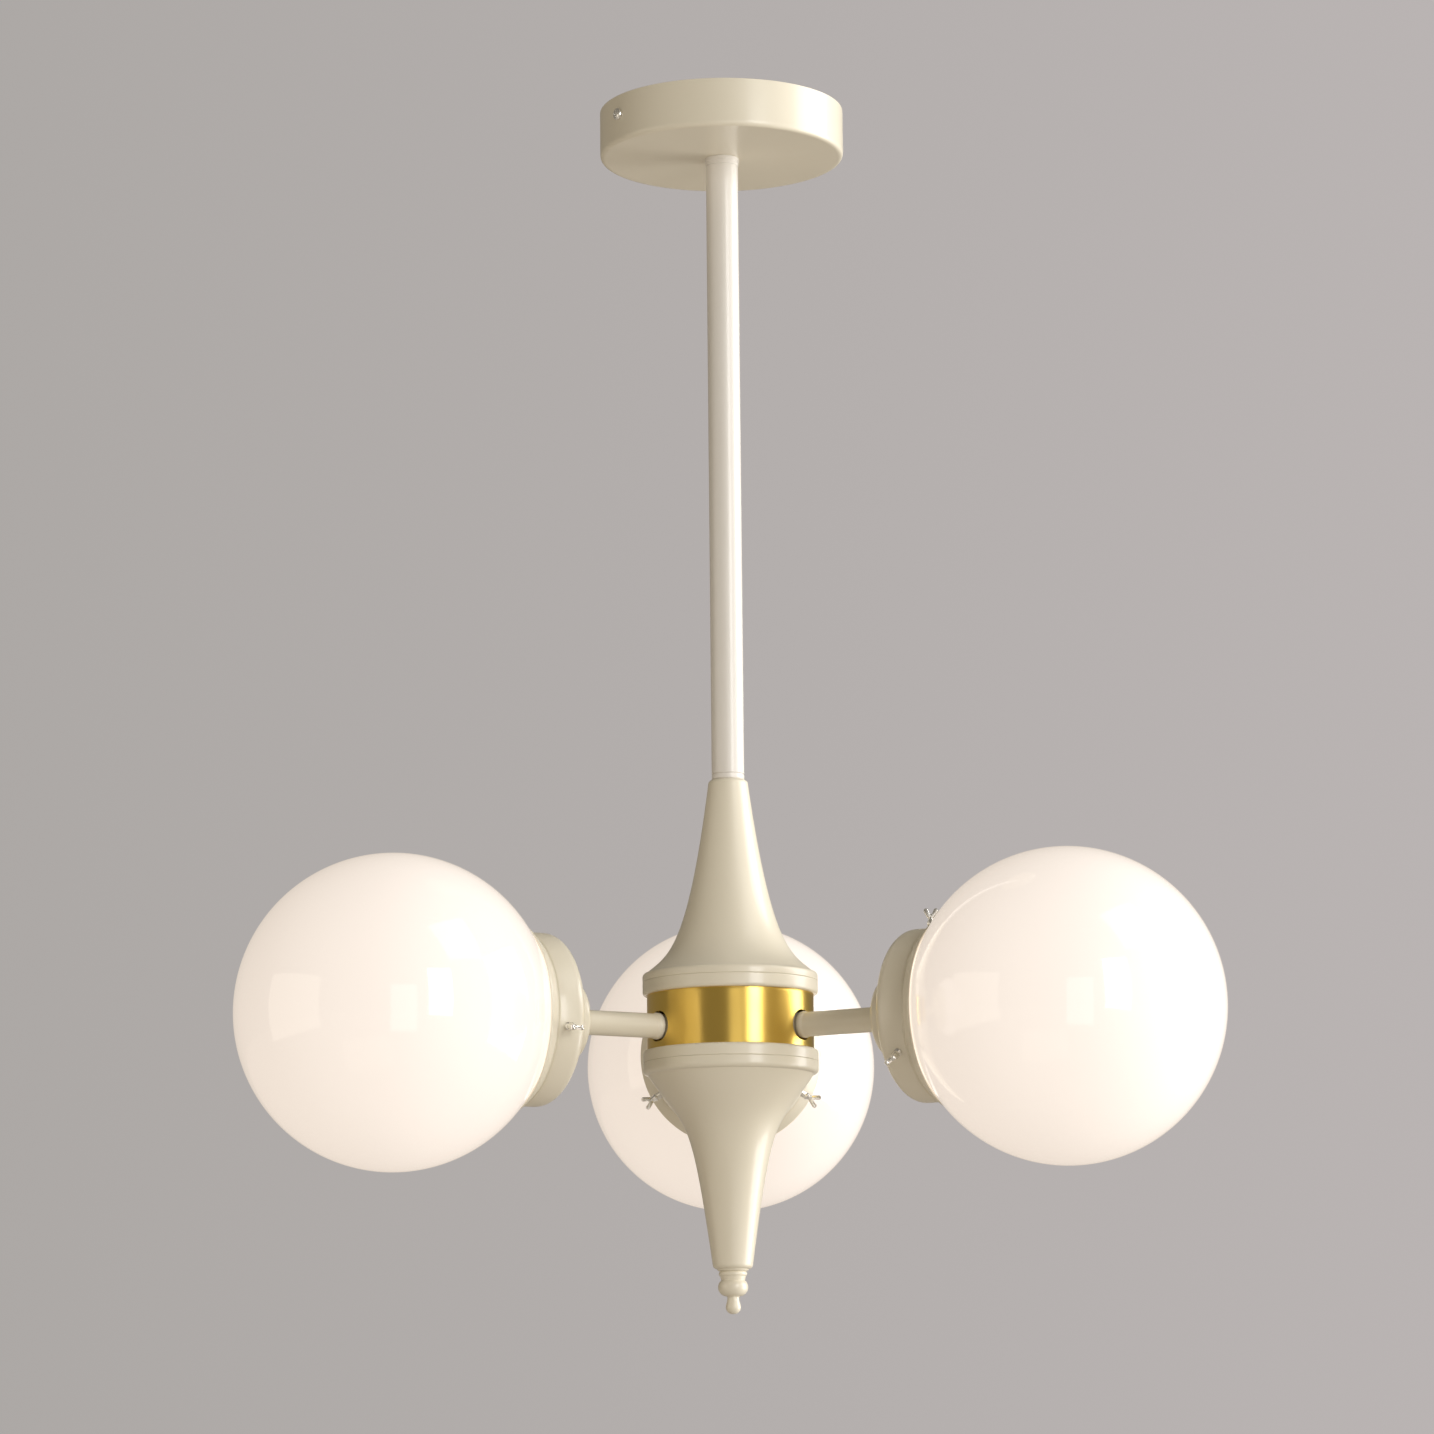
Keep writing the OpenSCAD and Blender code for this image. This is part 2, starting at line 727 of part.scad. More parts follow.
// Lamp holder on the end of the arm rod, with a plain bore for the lamp's cap
module lamp_holder(i) {
    r = lamp_holder_diameter / 2;
    skirt = 12;
    color("whitesmoke") on_arm(i) difference() {
        turned_along_x([
            [0, lamp_holder_back],
            [r - 4, lamp_holder_back],
            [r - 1.2, lamp_holder_back + 3],
            [r - 1.2, lamp_holder_front - skirt],
            [r, lamp_holder_front - skirt + 1],
            [r, lamp_holder_front - 1],
            [r - 1, lamp_holder_front],
            [0, lamp_holder_front]
        ]);
        bar_x(lamp_holder_back - cut, lamp_holder_floor + cut, arm_rod_diameter + 2 * thread_gap);
        bar_x(lamp_holder_floor, lamp_holder_front + cut, cap_diameter + 2 * passing_gap);
    }
}

// Round lamp with a screw cap
module lamp(i) {
    cap = cap_diameter / 2;
    contact = 5;
    bulb = lamp_diameter / 2;
    cap_end = lamp_back + 24;
    bulb_centre = lamp_back + lamp_length - bulb;
    neck = cap + 0.4;
    join_angle = 142;
    join = [bulb * sin(join_angle), bulb_centre + bulb * cos(join_angle)];
    color("white") on_arm(i) turned_along_x(concat(
        [[0, lamp_back], [contact, lamp_back], [contact + 1, lamp_back + 2]],
        [[cap - 1, lamp_back + 4], [cap, lamp_back + 5], [cap, cap_end]],
        [[neck, cap_end + 0.5]],
        curve([neck, cap_end + 1], [neck, cap_end + 3], join - 2 * [sin(52), cos(52)], join, 5),
        [for (s = [1:14]) let (a = join_angle * (1 - s / 14))
            [bulb * sin(a), bulb_centre + bulb * cos(a)]]
    ));
}

// Blown opal globe with a short beaded neck that sits in the holder's cup
module globe(i) {
    r = globe_diameter / 2;
    neck = globe_neck_diameter / 2;
    color("white") on_arm(i) difference() {
        union() {
            translate([arm_reach, 0, 0]) rotate([0, 90, 0]) sphere(r);
            bar_x(neck_end + bead_radius, arm_reach - r / 2, globe_neck_diameter);
            translate([neck_end + bead_radius, 0, 0]) rotate([0, 90, 0]) rotate_extrude()
                translate([neck, 0]) circle(bead_radius, $fn = 24);
        }
        translate([arm_reach, 0, 0]) rotate([0, 90, 0]) sphere(r - glass_wall);
        bar_x(neck_end - cut, arm_reach - r / 3, globe_neck_diameter - 2 * glass_wall);
    }
}

// ---- Wiring ----

// Supply lead from the terminal block, down the stem and pipe, and out of the window in the hub
module supply_lead() {
    block_face = terminal_block_place - terminal_block_size[0] / 2;
    block_height = canopy_bottom + sheet + terminal_block_size[1] / 4;
    color("white") {
        rotate([0, 0, crossbar_direction + 90]) flat_wire([
            [block_face - 0.1, block_height],
            [block_face - 3, block_height],
            [block_face - 6, block_height + 2.4],
            [block_face - 10.5, nipple_top + 2.5],
            [6, nipple_top + 4.6],
            [2.4, nipple_top + 4.2],
            [0.4, nipple_top + 1.4],
            [0, nipple_top - 2],
            [0, stem_bottom],
            [0, arm_height + 9]
        ], supply_lead_diameter);
        rotate([0, 0, arm_directions[0]]) flat_wire([
            [0, arm_height + 9],
            [0.3, arm_height + 5],
            [1.8, arm_height + 2],
            [4.4, arm_height + 0.3],
            [6.2, arm_height],
            [connector_place - 0.1, arm_height]
        ], supply_lead_diameter);
    }
}

// Earth lead from its screw on the crossbar to the nipple's nut
module earth_lead() {
    lead = 2.2;
    head_bottom = -crossbar_thickness - machine_screw_head_height - lead / 2;
    nut_side = -pipe_nut_width / 2 - lead / 2;
    color("green") along_crossbar() flat_wire([
        [earth_screw_place - 2, head_bottom],
        [earth_screw_place + 2, head_bottom],
        [earth_screw_place + 5, head_bottom - 1.5],
        [nut_side - 3.4, canopy_washer_top + 8],
        [nut_side - 1.6, canopy_washer_top + 4],
        [nut_side - 1.4, canopy_washer_top + lead / 2]
    ], lead, 8);
}

connector_place = 8;
connector_size = [7, 9, 9];

// Push-in connector on the inner end of each arm's lead
module wire_connectors() {
    color("orange") for (i = arms) on_arm(i)
        translate([connector_place, -connector_size[1] / 2, -connector_size[2] / 2])
            cube(connector_size);
}

// Two-core lead from the connector through the arm rod to the lamp holder
module arm_lead(i) {
    color("white") on_arm(i)
        bar_x(connector_place + connector_size[0], rod_outer_end + 1, arm_lead_diameter);
}

// ---- Assembly ----

ceiling_bracket();
earth_screw();
canopy();
canopy_screws();
canopy_washer();
canopy_nut();
terminal_block();
top_nipple();
stem_top_bush();
stem_tube();
stem_foot_bush();
centre_pipe();
upper_bell();
upper_plate();
brass_band();
hub();
lower_plate();
lower_bell();
finial();
pipe_nuts();
supply_lead();
earth_lead();
hub_nuts();
holder_nuts();
wire_connectors();
for (i = arms) {
    arm_tube(i);
    arm_rod(i);
    arm_lead(i);
    globe_holder(i);
    lamp_holder(i);
    lamp(i);
    globe(i);
    for (k = arms)
        thumb_screw(i, k);
}
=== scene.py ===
from math import asin, cos, hypot, pi, radians, sin, sqrt, tan

import bmesh
import bpy
from mathutils import Matrix, Vector


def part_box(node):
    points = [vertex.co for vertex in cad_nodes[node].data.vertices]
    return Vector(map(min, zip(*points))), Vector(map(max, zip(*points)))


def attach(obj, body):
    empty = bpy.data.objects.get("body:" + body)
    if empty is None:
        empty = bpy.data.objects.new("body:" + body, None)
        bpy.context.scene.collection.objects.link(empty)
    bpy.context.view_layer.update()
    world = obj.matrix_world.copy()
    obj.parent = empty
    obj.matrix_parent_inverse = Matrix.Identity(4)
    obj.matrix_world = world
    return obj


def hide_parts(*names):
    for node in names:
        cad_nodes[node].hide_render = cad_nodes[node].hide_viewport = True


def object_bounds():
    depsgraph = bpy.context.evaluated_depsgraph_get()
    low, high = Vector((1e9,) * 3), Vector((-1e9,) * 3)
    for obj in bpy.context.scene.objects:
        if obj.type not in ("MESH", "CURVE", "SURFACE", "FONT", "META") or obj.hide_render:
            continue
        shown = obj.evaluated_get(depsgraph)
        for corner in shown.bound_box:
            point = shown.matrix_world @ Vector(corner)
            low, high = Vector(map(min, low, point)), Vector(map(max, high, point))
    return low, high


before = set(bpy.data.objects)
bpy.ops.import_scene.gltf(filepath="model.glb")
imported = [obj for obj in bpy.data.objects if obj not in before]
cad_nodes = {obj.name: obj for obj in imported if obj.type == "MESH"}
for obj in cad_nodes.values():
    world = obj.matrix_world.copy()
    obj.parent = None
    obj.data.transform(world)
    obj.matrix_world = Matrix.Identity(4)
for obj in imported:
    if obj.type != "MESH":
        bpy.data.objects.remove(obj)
cad_low, cad_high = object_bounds()
mm = 0.001


# ---- Camera ----
# A long lens stands a little below the globes and looks slightly up, so the canopy's underside
# shows. The light hangs straight, and the camera is rolled by half a degree.

camera_distance = 2.443
camera_height = -0.7275
camera_pitch = radians(9.735)
camera_yaw = radians(-0.12)
camera_roll = radians(-0.56)
lens_length = 126.2
sensor_width = 36
view_depth = 50


def linked(name, data):
    """A new object with the given data, linked to the scene."""
    made = bpy.data.objects.new(name, data)
    bpy.context.scene.collection.objects.link(made)
    return made


camera_data = bpy.data.cameras.new("camera")
camera_data.lens = lens_length
camera_data.sensor_width = sensor_width
camera_data.clip_end = view_depth
camera = linked("camera", camera_data)
camera.matrix_world = (
    Matrix.Translation((0, -camera_distance, camera_height))
    @ Matrix.Rotation(-camera_yaw, 4, "Z")
    @ Matrix.Rotation(pi / 2 + camera_pitch, 4, "X")
    @ Matrix.Rotation(camera_roll, 4, "Z")
)
bpy.context.scene.camera = camera
bpy.context.scene.view_settings.view_transform = "Standard"


# ---- Studio ----
# Two tall soft boxes stand on the right, one in front and one beside the light. Dimmer panels fill
# from the front, the left, above and below. The air seen behind carries painted shade on its left and
# painted light on its right. The floor is plain, pale and warm.

studio_middle = Vector((0, 0, (cad_low[2] + cad_high[2]) / 2))


def soft_box(name, bearing, distance, width, height, power, colour, rise=0.0):
    """A soft light aimed at the object. Its bearing is in degrees to the right of the camera."""
    data = bpy.data.lights.new(name, "AREA")
    data.shape = "RECTANGLE"
    data.size = width
    data.size_y = height
    data.energy = power
    data.color = colour
    light = linked(name, data)
    turn = radians(bearing)
    light.location = studio_middle + Vector((sin(turn) * distance, -cos(turn) * distance, rise))
    light.rotation_euler = (studio_middle - light.location).to_track_quat("-Z", "Y").to_euler()


soft_box("front_soft_box", 34, 2.6, 0.8, 1.5, 27, (1, 0.995, 0.985), rise=0.25)
soft_box("side_soft_box", 96, 2.2, 1.6, 2.2, 60, (1, 0.99, 0.985), rise=0.1)
soft_box("front_bounce", 8, 2.8, 0.9, 1.6, 5, (1, 0.96, 0.92), rise=-0.3)
soft_box("left_panel", -72, 2.8, 2.2, 1.6, 9, (1, 0.9, 0.76))
soft_box("low_panel", -20, 2.6, 1.8, 1.2, 2, (1, 0.9, 0.76), rise=-1.9)
soft_box("top_panel", 60, 2.4, 1.6, 1.6, 12, (1, 0.98, 0.96), rise=2.2)

def give_inputs(tree, node, *values, **inputs):
    """Gives a node's inputs, in order or by name, plain values or the sockets of other nodes."""
    pairs = list(zip(node.inputs, values))
    pairs += [(node.inputs[label.replace("_", " ").title()], value) for label, value in inputs.items()]
    for socket, value in pairs:
        if isinstance(value, bpy.types.NodeSocket):
            tree.links.new(value, socket)
        else:
            socket.default_value = value


def add_node(tree, kind, *values, settings=None, **inputs):
    """Adds a node with its own settings and its inputs."""
    node = tree.nodes.new(kind)
    for label, value in (settings or {}).items():
        setattr(node, label, value)
    give_inputs(tree, node, *values, **inputs)
    return node


def set_shader(material, **inputs):
    """Gives named inputs of a material's Principled shader plain values or sockets."""
    give_inputs(material.node_tree, material.node_tree.nodes["Principled BSDF"], **inputs)


# The backdrop's two tones are painted light and shade: darker on the left, lighter on the right toward the
# soft boxes.
backdrop_spread = 0.15
shaded_backdrop_left = (0.415, 0.392, 0.377, 1)
lit_backdrop_right = (0.492, 0.458, 0.452, 1)
fill_colour = (0.47, 0.42, 0.34, 1)
fill_strength = 0.46

world = bpy.data.worlds.new("studio_air")
world.use_nodes = True
air = world.node_tree
air.nodes.clear()
direction = add_node(air, "ShaderNodeSeparateXYZ", add_node(air, "ShaderNodeTexCoord").outputs["Generated"])
across = add_node(air, "ShaderNodeMapRange", value=direction.outputs["X"], from_min=-backdrop_spread,
                  from_max=backdrop_spread)
backdrop = add_node(air, "ShaderNodeMix", settings={"data_type": "RGBA"}, factor=across.outputs["Result"],
                    a=shaded_backdrop_left, b=lit_backdrop_right)
seen = add_node(air, "ShaderNodeBackground", color=backdrop.outputs["Result"])
fill = add_node(air, "ShaderNodeBackground", color=fill_colour, strength=fill_strength)
seen_or_fill = add_node(air, "ShaderNodeMixShader",
                        add_node(air, "ShaderNodeLightPath").outputs["Is Camera Ray"],
                        fill.outputs[0], seen.outputs[0])
add_node(air, "ShaderNodeOutputWorld", surface=seen_or_fill.outputs[0])
bpy.context.scene.world = world

floor_depth = 3.2
floor_reach = 30.0
floor_z = cad_low[2] - floor_depth
floor_mesh = bpy.data.meshes.new("floor")
floor_mesh.from_pydata(
    [(x * floor_reach, y * floor_reach, floor_z) for x, y in ((-1, -1), (1, -1), (1, 1), (-1, 1))],
    [],
    [(0, 1, 2, 3)],
)
floor_paint = bpy.data.materials.new("floor_paint")
floor_paint.use_nodes = True
set_shader(floor_paint, base_color=(0.75, 0.71, 0.67, 1), roughness=0.8,
           emission_color=(0.25, 0.225, 0.195, 1), emission_strength=0.6)
floor_mesh.materials.append(floor_paint)
floor = linked("floor", floor_mesh)


# ---- Canopy ----
# A round pan pressed from thin steel sheet and enamelled cream. Its open side sits against the
# ceiling, its lower edge is rounded and a hole in its middle takes the stem's nipple.


def softened(corners, steps=6, lead=0.25 * mm):
    """Points of a closed outline from (radius, height, rounding) corners, with a short flat lead
    on each side of a rounding so that the wall beside it stays flat to the eye."""
    points = []
    count = len(corners)
    for i, (r, z, rounding) in enumerate(corners):
        here = Vector((r, z))
        back = Vector(corners[i - 1][:2]) - here
        ahead = Vector(corners[(i + 1) % count][:2]) - here
        if rounding <= 0 or back.length == 0 or ahead.length == 0:
            points.append(here)
            continue
        half = back.angle(ahead) / 2
        setback = min(rounding / tan(half), 0.49 * min(back.length, ahead.length))
        start = here + back.normalized() * setback
        end = here + ahead.normalized() * setback
        if back.length > 2 * (setback + lead):
            points.append(start + back.normalized() * lead)
        for s in range(steps + 1):
            t = s / steps
            points.append((1 - t) ** 2 * start + 2 * t * (1 - t) * here + t**2 * end)
        if ahead.length > 2 * (setback + lead):
            points.append(end + ahead.normalized() * lead)
    return points


def smoothed(mesh, sharp):
    """Shades a mesh smooth, except where faces meet at more than the given angle."""
    mesh.shade_smooth()
    mesh.set_sharp_from_angle(angle=radians(sharp))


def finished_mesh(name, shape, sharp=35):
    """A linked, smoothed object from a bmesh."""
    mesh = bpy.data.meshes.new(name)
    shape.to_mesh(mesh)
    shape.free()
    smoothed(mesh, sharp)
    return linked(name, mesh)


def turned(name, outline, segments=160, sharp=35):
    """A lathe-turned piece about Z from (radius, height) points that run right round its wall. An
    outline that starts and ends on the axis closes there."""
    shape = bmesh.new()
    rings = []
    for r, z in outline:
        if r < 1e-7:
            rings.append([shape.verts.new((0, 0, z))])
        else:
            turns = [2 * pi * k / segments for k in range(segments)]
            rings.append([shape.verts.new((r * cos(a), r * sin(a), z)) for a in turns])
    pairs = list(zip(rings, rings[1:] + rings[:1]))
    for near, far in pairs[:-1] if len(rings[0]) == 1 else pairs:
        for k in range(segments):
            n = (k + 1) % segments
            if len(near) == 1:
                shape.faces.new((near[0], far[n], far[k]))
            elif len(far) == 1:
                shape.faces.new((near[k], near[n], far[0]))
            else:
                shape.faces.new((near[k], near[n], far[n], far[k]))
    bmesh.ops.recalc_face_normals(shape, faces=shape.faces)
    return finished_mesh(name, shape, sharp)


def keep_piece(piece, body, material, slot, *nodes):
    """Gives a finished piece its material and body, and hides the nodes it stands for. Its slot argument is
    not used.
    """
    piece.data.materials.clear()
    piece.data.materials.append(material)
    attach(piece, body)
    if nodes:
        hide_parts(*nodes)


def shader_group(name, inputs, outputs):
    """An empty shader node group with named sockets, and its input and output nodes."""
    group = bpy.data.node_groups.new(name, "ShaderNodeTree")
    for label, value in inputs.items():
        kind = "NodeSocketColor" if isinstance(value, tuple) else "NodeSocketFloat"
        group.interface.new_socket(name=label, in_out="INPUT", socket_type=kind).default_value = value
    for label, kind in outputs.items():
        group.interface.new_socket(name=label, in_out="OUTPUT", socket_type=kind)
    return group, group.nodes.new("NodeGroupInput"), group.nodes.new("NodeGroupOutput")


def noise(group, place, scale, detail=4.0, distortion=0.0):
    """A noise texture on the given coordinates."""
    return add_node(group, "ShaderNodeTexNoise", vector=place, scale=scale, detail=detail,
                    distortion=distortion).outputs["Fac"]


def colour_mix(group, factor, a, b):
    """Mixes two colours by a factor socket."""
    return add_node(group, "ShaderNodeMix", settings={"data_type": "RGBA"}, factor=factor, a=a,
                    b=b).outputs["Result"]


def stretch(group, value, low, high, to_low=0.0, to_high=1.0):
    """Maps a socket's range low..high to another range, whose ends may be sockets."""
    return add_node(group, "ShaderNodeMapRange", value=value, from_min=low, from_max=high,
                    to_min=to_low, to_max=to_high).outputs["Result"]


def calc(tree, operation, *values):
    """The result of one sum on sockets or plain numbers."""
    return add_node(tree, "ShaderNodeMath", *values, settings={"operation": operation}).outputs[0]


def build_uneven_finish():
    """Two tones in soft clouds, a third tone on worn edges, uneven gloss and a fine skin."""
    group, given, out = shader_group(
        "uneven_finish",
        {
            "Tone A": (1, 1, 1, 1), "Tone B": (1, 1, 1, 1), "Edge Tone": (1, 1, 1, 1),
            "Cloud Scale": 14.0, "Gloss Low": 0.2, "Gloss High": 0.3,
            "Skin Scale": 400.0, "Skin Depth": 0.05, "Edge Width": 0.4, "Edge Wear": 0.5,
        },
        {"Color": "NodeSocketColor", "Roughness": "NodeSocketFloat", "Normal": "NodeSocketVector"},
    )
    place = add_node(group, "ShaderNodeTexCoord").outputs["Object"]
    give = given.outputs
    body = colour_mix(group, noise(group, place, give["Cloud Scale"], 5), give["Tone A"], give["Tone B"])
    corner = add_node(group, "ShaderNodeBevel", settings={"samples": 3},
                      radius=calc(group, "MULTIPLY", give["Edge Width"], mm))
    flat = add_node(group, "ShaderNodeNewGeometry")
    facing = add_node(group, "ShaderNodeVectorMath", corner.outputs["Normal"], flat.outputs["Normal"],
                      settings={"operation": "DOT_PRODUCT"})
    edge = stretch(group, facing.outputs["Value"], 0.995, 0.9, 0, give["Edge Wear"])
    broken = calc(group, "MULTIPLY", edge, stretch(group, noise(group, place, 260, 3), 0.3, 0.6))
    smears = noise(group, place, 45, 4, 0.6)
    bump = add_node(group, "ShaderNodeBump", distance=0.2 * mm, strength=give["Skin Depth"],
                    height=noise(group, place, give["Skin Scale"], 2))
    give_inputs(group, out, color=colour_mix(group, broken, body, give["Edge Tone"]),
                roughness=stretch(group, smears, 0.35, 0.7, give["Gloss Low"], give["Gloss High"]),
                normal=bump.outputs["Normal"])
    return group


uneven_finish = build_uneven_finish()


def finish_material(name, metallic=0.0, **values):
    """A material whose colour, roughness and normal come from a node named finish."""
    material = bpy.data.materials.new(name)
    material.use_nodes = True
    tones = {label: (*value, 1) if isinstance(value, tuple) else value for label, value in values.items()}
    finish = add_node(material.node_tree, "ShaderNodeGroup",
                      settings={"node_tree": uneven_finish, "name": "finish"}, **tones)
    set_shader(material, metallic=metallic, base_color=finish.outputs["Color"],
               roughness=finish.outputs["Roughness"], normal=finish.outputs["Normal"])
    return material


def enamel(name, **tones):
    """A stoved enamel with a thin glossy skin."""
    material = finish_material(name, gloss_low=0.34, gloss_high=0.42, skin_scale=420.0, skin_depth=0.05,
                               **tones)
    set_shader(material, coat_weight=0.35, coat_roughness=0.12)
    return material


cream_enamel = enamel("cream_enamel", tone_a=(0.79, 0.728, 0.585), tone_b=(0.82, 0.765, 0.63),
                      edge_tone=(0.86, 0.82, 0.71))

sheet = 1.2 * mm
nipple_hole = 5.1 * mm
canopy_low, canopy_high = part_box("canopy")
canopy_radius = 61 * mm
canopy_edge = 2.5 * mm
ceiling_edge = 0.3 * mm
canopy_shell = turned("canopy_shell", softened([
    (nipple_hole, canopy_low[2], 0),
    (canopy_radius, canopy_low[2], canopy_edge),
    (canopy_radius, canopy_high[2], ceiling_edge),
    (canopy_radius - sheet, canopy_high[2], ceiling_edge),
    (canopy_radius - sheet, canopy_low[2] + sheet, canopy_edge - sheet),
    (nipple_hole, canopy_low[2] + sheet, 0),
]), segments=192)
keep_piece(canopy_shell, "fixed_frame", cream_enamel, "cream_paint", "canopy")


# ---- Side screws of the canopy ----
# Two nickel-plated pan-headed machine screws with crossed slots. They pass through the canopy's
# side and pull it to the tabs of the crossbar.


def geometry_tree(name, inputs):
    """An empty Geometry Nodes tree with named inputs, and its input and output nodes."""
    tree = bpy.data.node_groups.new(name, "GeometryNodeTree")
    tree.interface.new_socket(name="Geometry", in_out="INPUT", socket_type="NodeSocketGeometry")
    tree.interface.new_socket(name="Geometry", in_out="OUTPUT", socket_type="NodeSocketGeometry")
    for label, kind in inputs.items():
        tree.interface.new_socket(name=label, in_out="INPUT", socket_type=kind)
    return tree, tree.nodes.new("NodeGroupInput"), tree.nodes.new("NodeGroupOutput")


def grown(name, tree, base, **values):
    """Runs a Geometry Nodes tree on a base object and returns the result as a plain mesh."""
    modifier = base.modifiers.new("grow", "NODES")
    modifier.node_group = tree
    for socket in tree.interface.items_tree:
        label = socket.name.lower().replace(" ", "_")
        if socket.in_out == "INPUT" and label in values:
            modifier[socket.identifier] = values[label]
    return plain(name, base)


def plain(name, base):
    """The evaluated object as a new plain mesh object. The base object is removed."""
    bpy.context.view_layer.update()
    graph = bpy.context.evaluated_depsgraph_get()
    mesh = bpy.data.meshes.new_from_object(base.evaluated_get(graph), depsgraph=graph)
    base.modifiers.clear()
    bpy.data.objects.remove(base)
    mesh.name = name
    return linked(name, mesh)


def end_tree(tree, geometry, finish, out):
    """Makes the geometry real, sets its material and puts it out."""
    real = add_node(tree, "GeometryNodeRealizeInstances", geometry)
    coated = add_node(tree, "GeometryNodeSetMaterial", geometry=real.outputs[0], material=finish)
    give_inputs(tree, out, geometry=coated.outputs[0])


def build_ring_of_pieces():
    """Copies of one piece, drawn along +X, set round Z at a radius and level."""
    tree, given, out = geometry_tree("ring_of_pieces", {
        "Piece": "NodeSocketObject", "Count": "NodeSocketInt", "Radius": "NodeSocketFloat",
        "Start": "NodeSocketFloat", "Level": "NodeSocketFloat", "Finish": "NodeSocketMaterial",
    })
    give = given.outputs
    step = calc(tree, "DIVIDE", 2 * pi, give["Count"])
    number = add_node(tree, "GeometryNodeInputIndex").outputs[0]
    turn = calc(tree, "ADD", calc(tree, "MULTIPLY", number, step), give["Start"])
    spot = add_node(tree, "ShaderNodeCombineXYZ",
                    x=calc(tree, "MULTIPLY", calc(tree, "COSINE", turn), give["Radius"]),
                    y=calc(tree, "MULTIPLY", calc(tree, "SINE", turn), give["Radius"]),
                    z=give["Level"])
    points = add_node(tree, "GeometryNodePoints", count=give["Count"], position=spot.outputs[0])
    source = add_node(tree, "GeometryNodeObjectInfo", object=give["Piece"])
    facing = add_node(tree, "FunctionNodeAxisAngleToRotation", axis=(0, 0, 1), angle=turn)
    copies = add_node(tree, "GeometryNodeInstanceOnPoints", points=points.outputs[0],
                      instance=source.outputs["Geometry"], rotation=facing.outputs[0])
    end_tree(tree, copies.outputs[0], give["Finish"], out)
    return tree


ring_of_pieces = build_ring_of_pieces()


def ring(name, piece, count, radius, start, level, finish):
    """A ring of copies of a template piece, which is removed afterwards."""
    holder = linked("ring_start", bpy.data.meshes.new("ring_start"))
    made = grown(name, ring_of_pieces, holder, piece=piece, count=count, radius=radius, start=start,
                 level=level, finish=finish)
    bpy.data.objects.remove(piece)
    return made


def along_x(piece):
    """Turns a piece drawn up Z so that it points along +X."""
    piece.data.transform(Matrix.Rotation(pi / 2, 4, "Y"))
    return piece


def box_cutter(low, high):
    """A plain box for cutting, as a linked object."""
    shape = bmesh.new()
    bmesh.ops.create_cube(shape, size=1)
    size = Vector(high) - Vector(low)
    bmesh.ops.scale(shape, vec=size, verts=shape.verts)
    bmesh.ops.translate(shape, vec=(Vector(high) + Vector(low)) / 2, verts=shape.verts)
    return finished_mesh("cutter", shape)


def rod_cutter(radius, low, high, segments=32):
    """A plain rod along Z for cutting, as a linked object."""
    return turned("cutter", [(0, low), (radius, low), (radius, high), (0, high)], segments)


def boolean(piece, operation, other):
    """Joins, cuts or crosses a piece with another one, as a live modifier."""
    step = piece.modifiers.new("boolean", "BOOLEAN")
    step.operation = operation
    step.solver = "EXACT"
    step.object = other


def cut_away(name, piece, cutters, bevel=0.0, sharp=35):
    """Cuts the given objects out of a piece, softens the new edges, and returns a plain mesh."""
    for cutter in cutters:
        boolean(piece, "DIFFERENCE", cutter)
    if bevel:
        soft = piece.modifiers.new("soft", "BEVEL")
        soft.width = bevel
        soft.segments = 2
        soft.limit_method = "ANGLE"
        soft.angle_limit = radians(40)
    made = plain(name, piece)
    for cutter in cutters:
        bpy.data.objects.remove(cutter)
    smoothed(made.data, sharp)
    return made


bright_nickel = finish_material(
    "bright_nickel", metallic=1.0, tone_a=(0.93, 0.92, 0.89), tone_b=(0.86, 0.85, 0.82),
    edge_tone=(0.96, 0.95, 0.93), cloud_scale=160.0, gloss_low=0.2, gloss_high=0.3,
    skin_scale=1800.0, skin_depth=0.05, edge_width=0.2, edge_wear=0.7,
)

crossbar_bearing = radians(33.4)
side_screw_level = canopy_high[2] - 10 * mm
side_screw_length = 5.2 * mm
screw_shank = 1.95 * mm
pan_head = 3 * mm
pan_height = 2 * mm
slot_width = 0.7 * mm
screw_pitch = 0.7 * mm


def thread_points(radius, low, high, pitch):
    """Outline points of a thread's ridges, from a low level to a high one."""
    points = []
    for k in range(int((high - low) / pitch)):
        points += [(radius - 0.35 * pitch, low + (k + 0.15) * pitch), (radius, low + (k + 0.65) * pitch)]
    return points


def pan_screw(name, length):
    """A pan-headed screw along +X, with its head's seat at the origin and two crossed slots."""
    body = turned("screw_body", [
        (0, -length), (0.6 * screw_shank, -length), *thread_points(screw_shank, -length, 0, screw_pitch),
        (screw_shank, 0), (pan_head - 0.1 * mm, 0), (pan_head, 0.05 * mm), (pan_head, 0.5 * pan_height),
        (0.93 * pan_head, 0.72 * pan_height), (0.75 * pan_head, 0.88 * pan_height),
        (0.4 * pan_head, 0.97 * pan_height), (0, pan_height),
    ], 48)
    low, high = 0.55 * pan_height, 2 * pan_height
    arm = 0.62 * pan_head
    slots = [box_cutter((-arm, -slot_width / 2, low), (arm, slot_width / 2, high)),
             box_cutter((-slot_width / 2, -arm, low), (slot_width / 2, arm, high))]
    return along_x(cut_away(name, body, slots, bevel=0.08 * mm))


side_screws = ring("canopy_side_screws", pan_screw("side_screw", side_screw_length), 2, canopy_radius,
                   crossbar_bearing, side_screw_level, bright_nickel)
keep_piece(side_screws, "fixed_frame", bright_nickel, "nickel", "canopy_screws")


# ---- Crossbar, washer and nut ----
# A zinc-plated steel strip, screwed flat to the ceiling, with both ends bent down and tapped for
# the side screws. A washer and a hexagon nut hold the stem's nipple in the canopy.

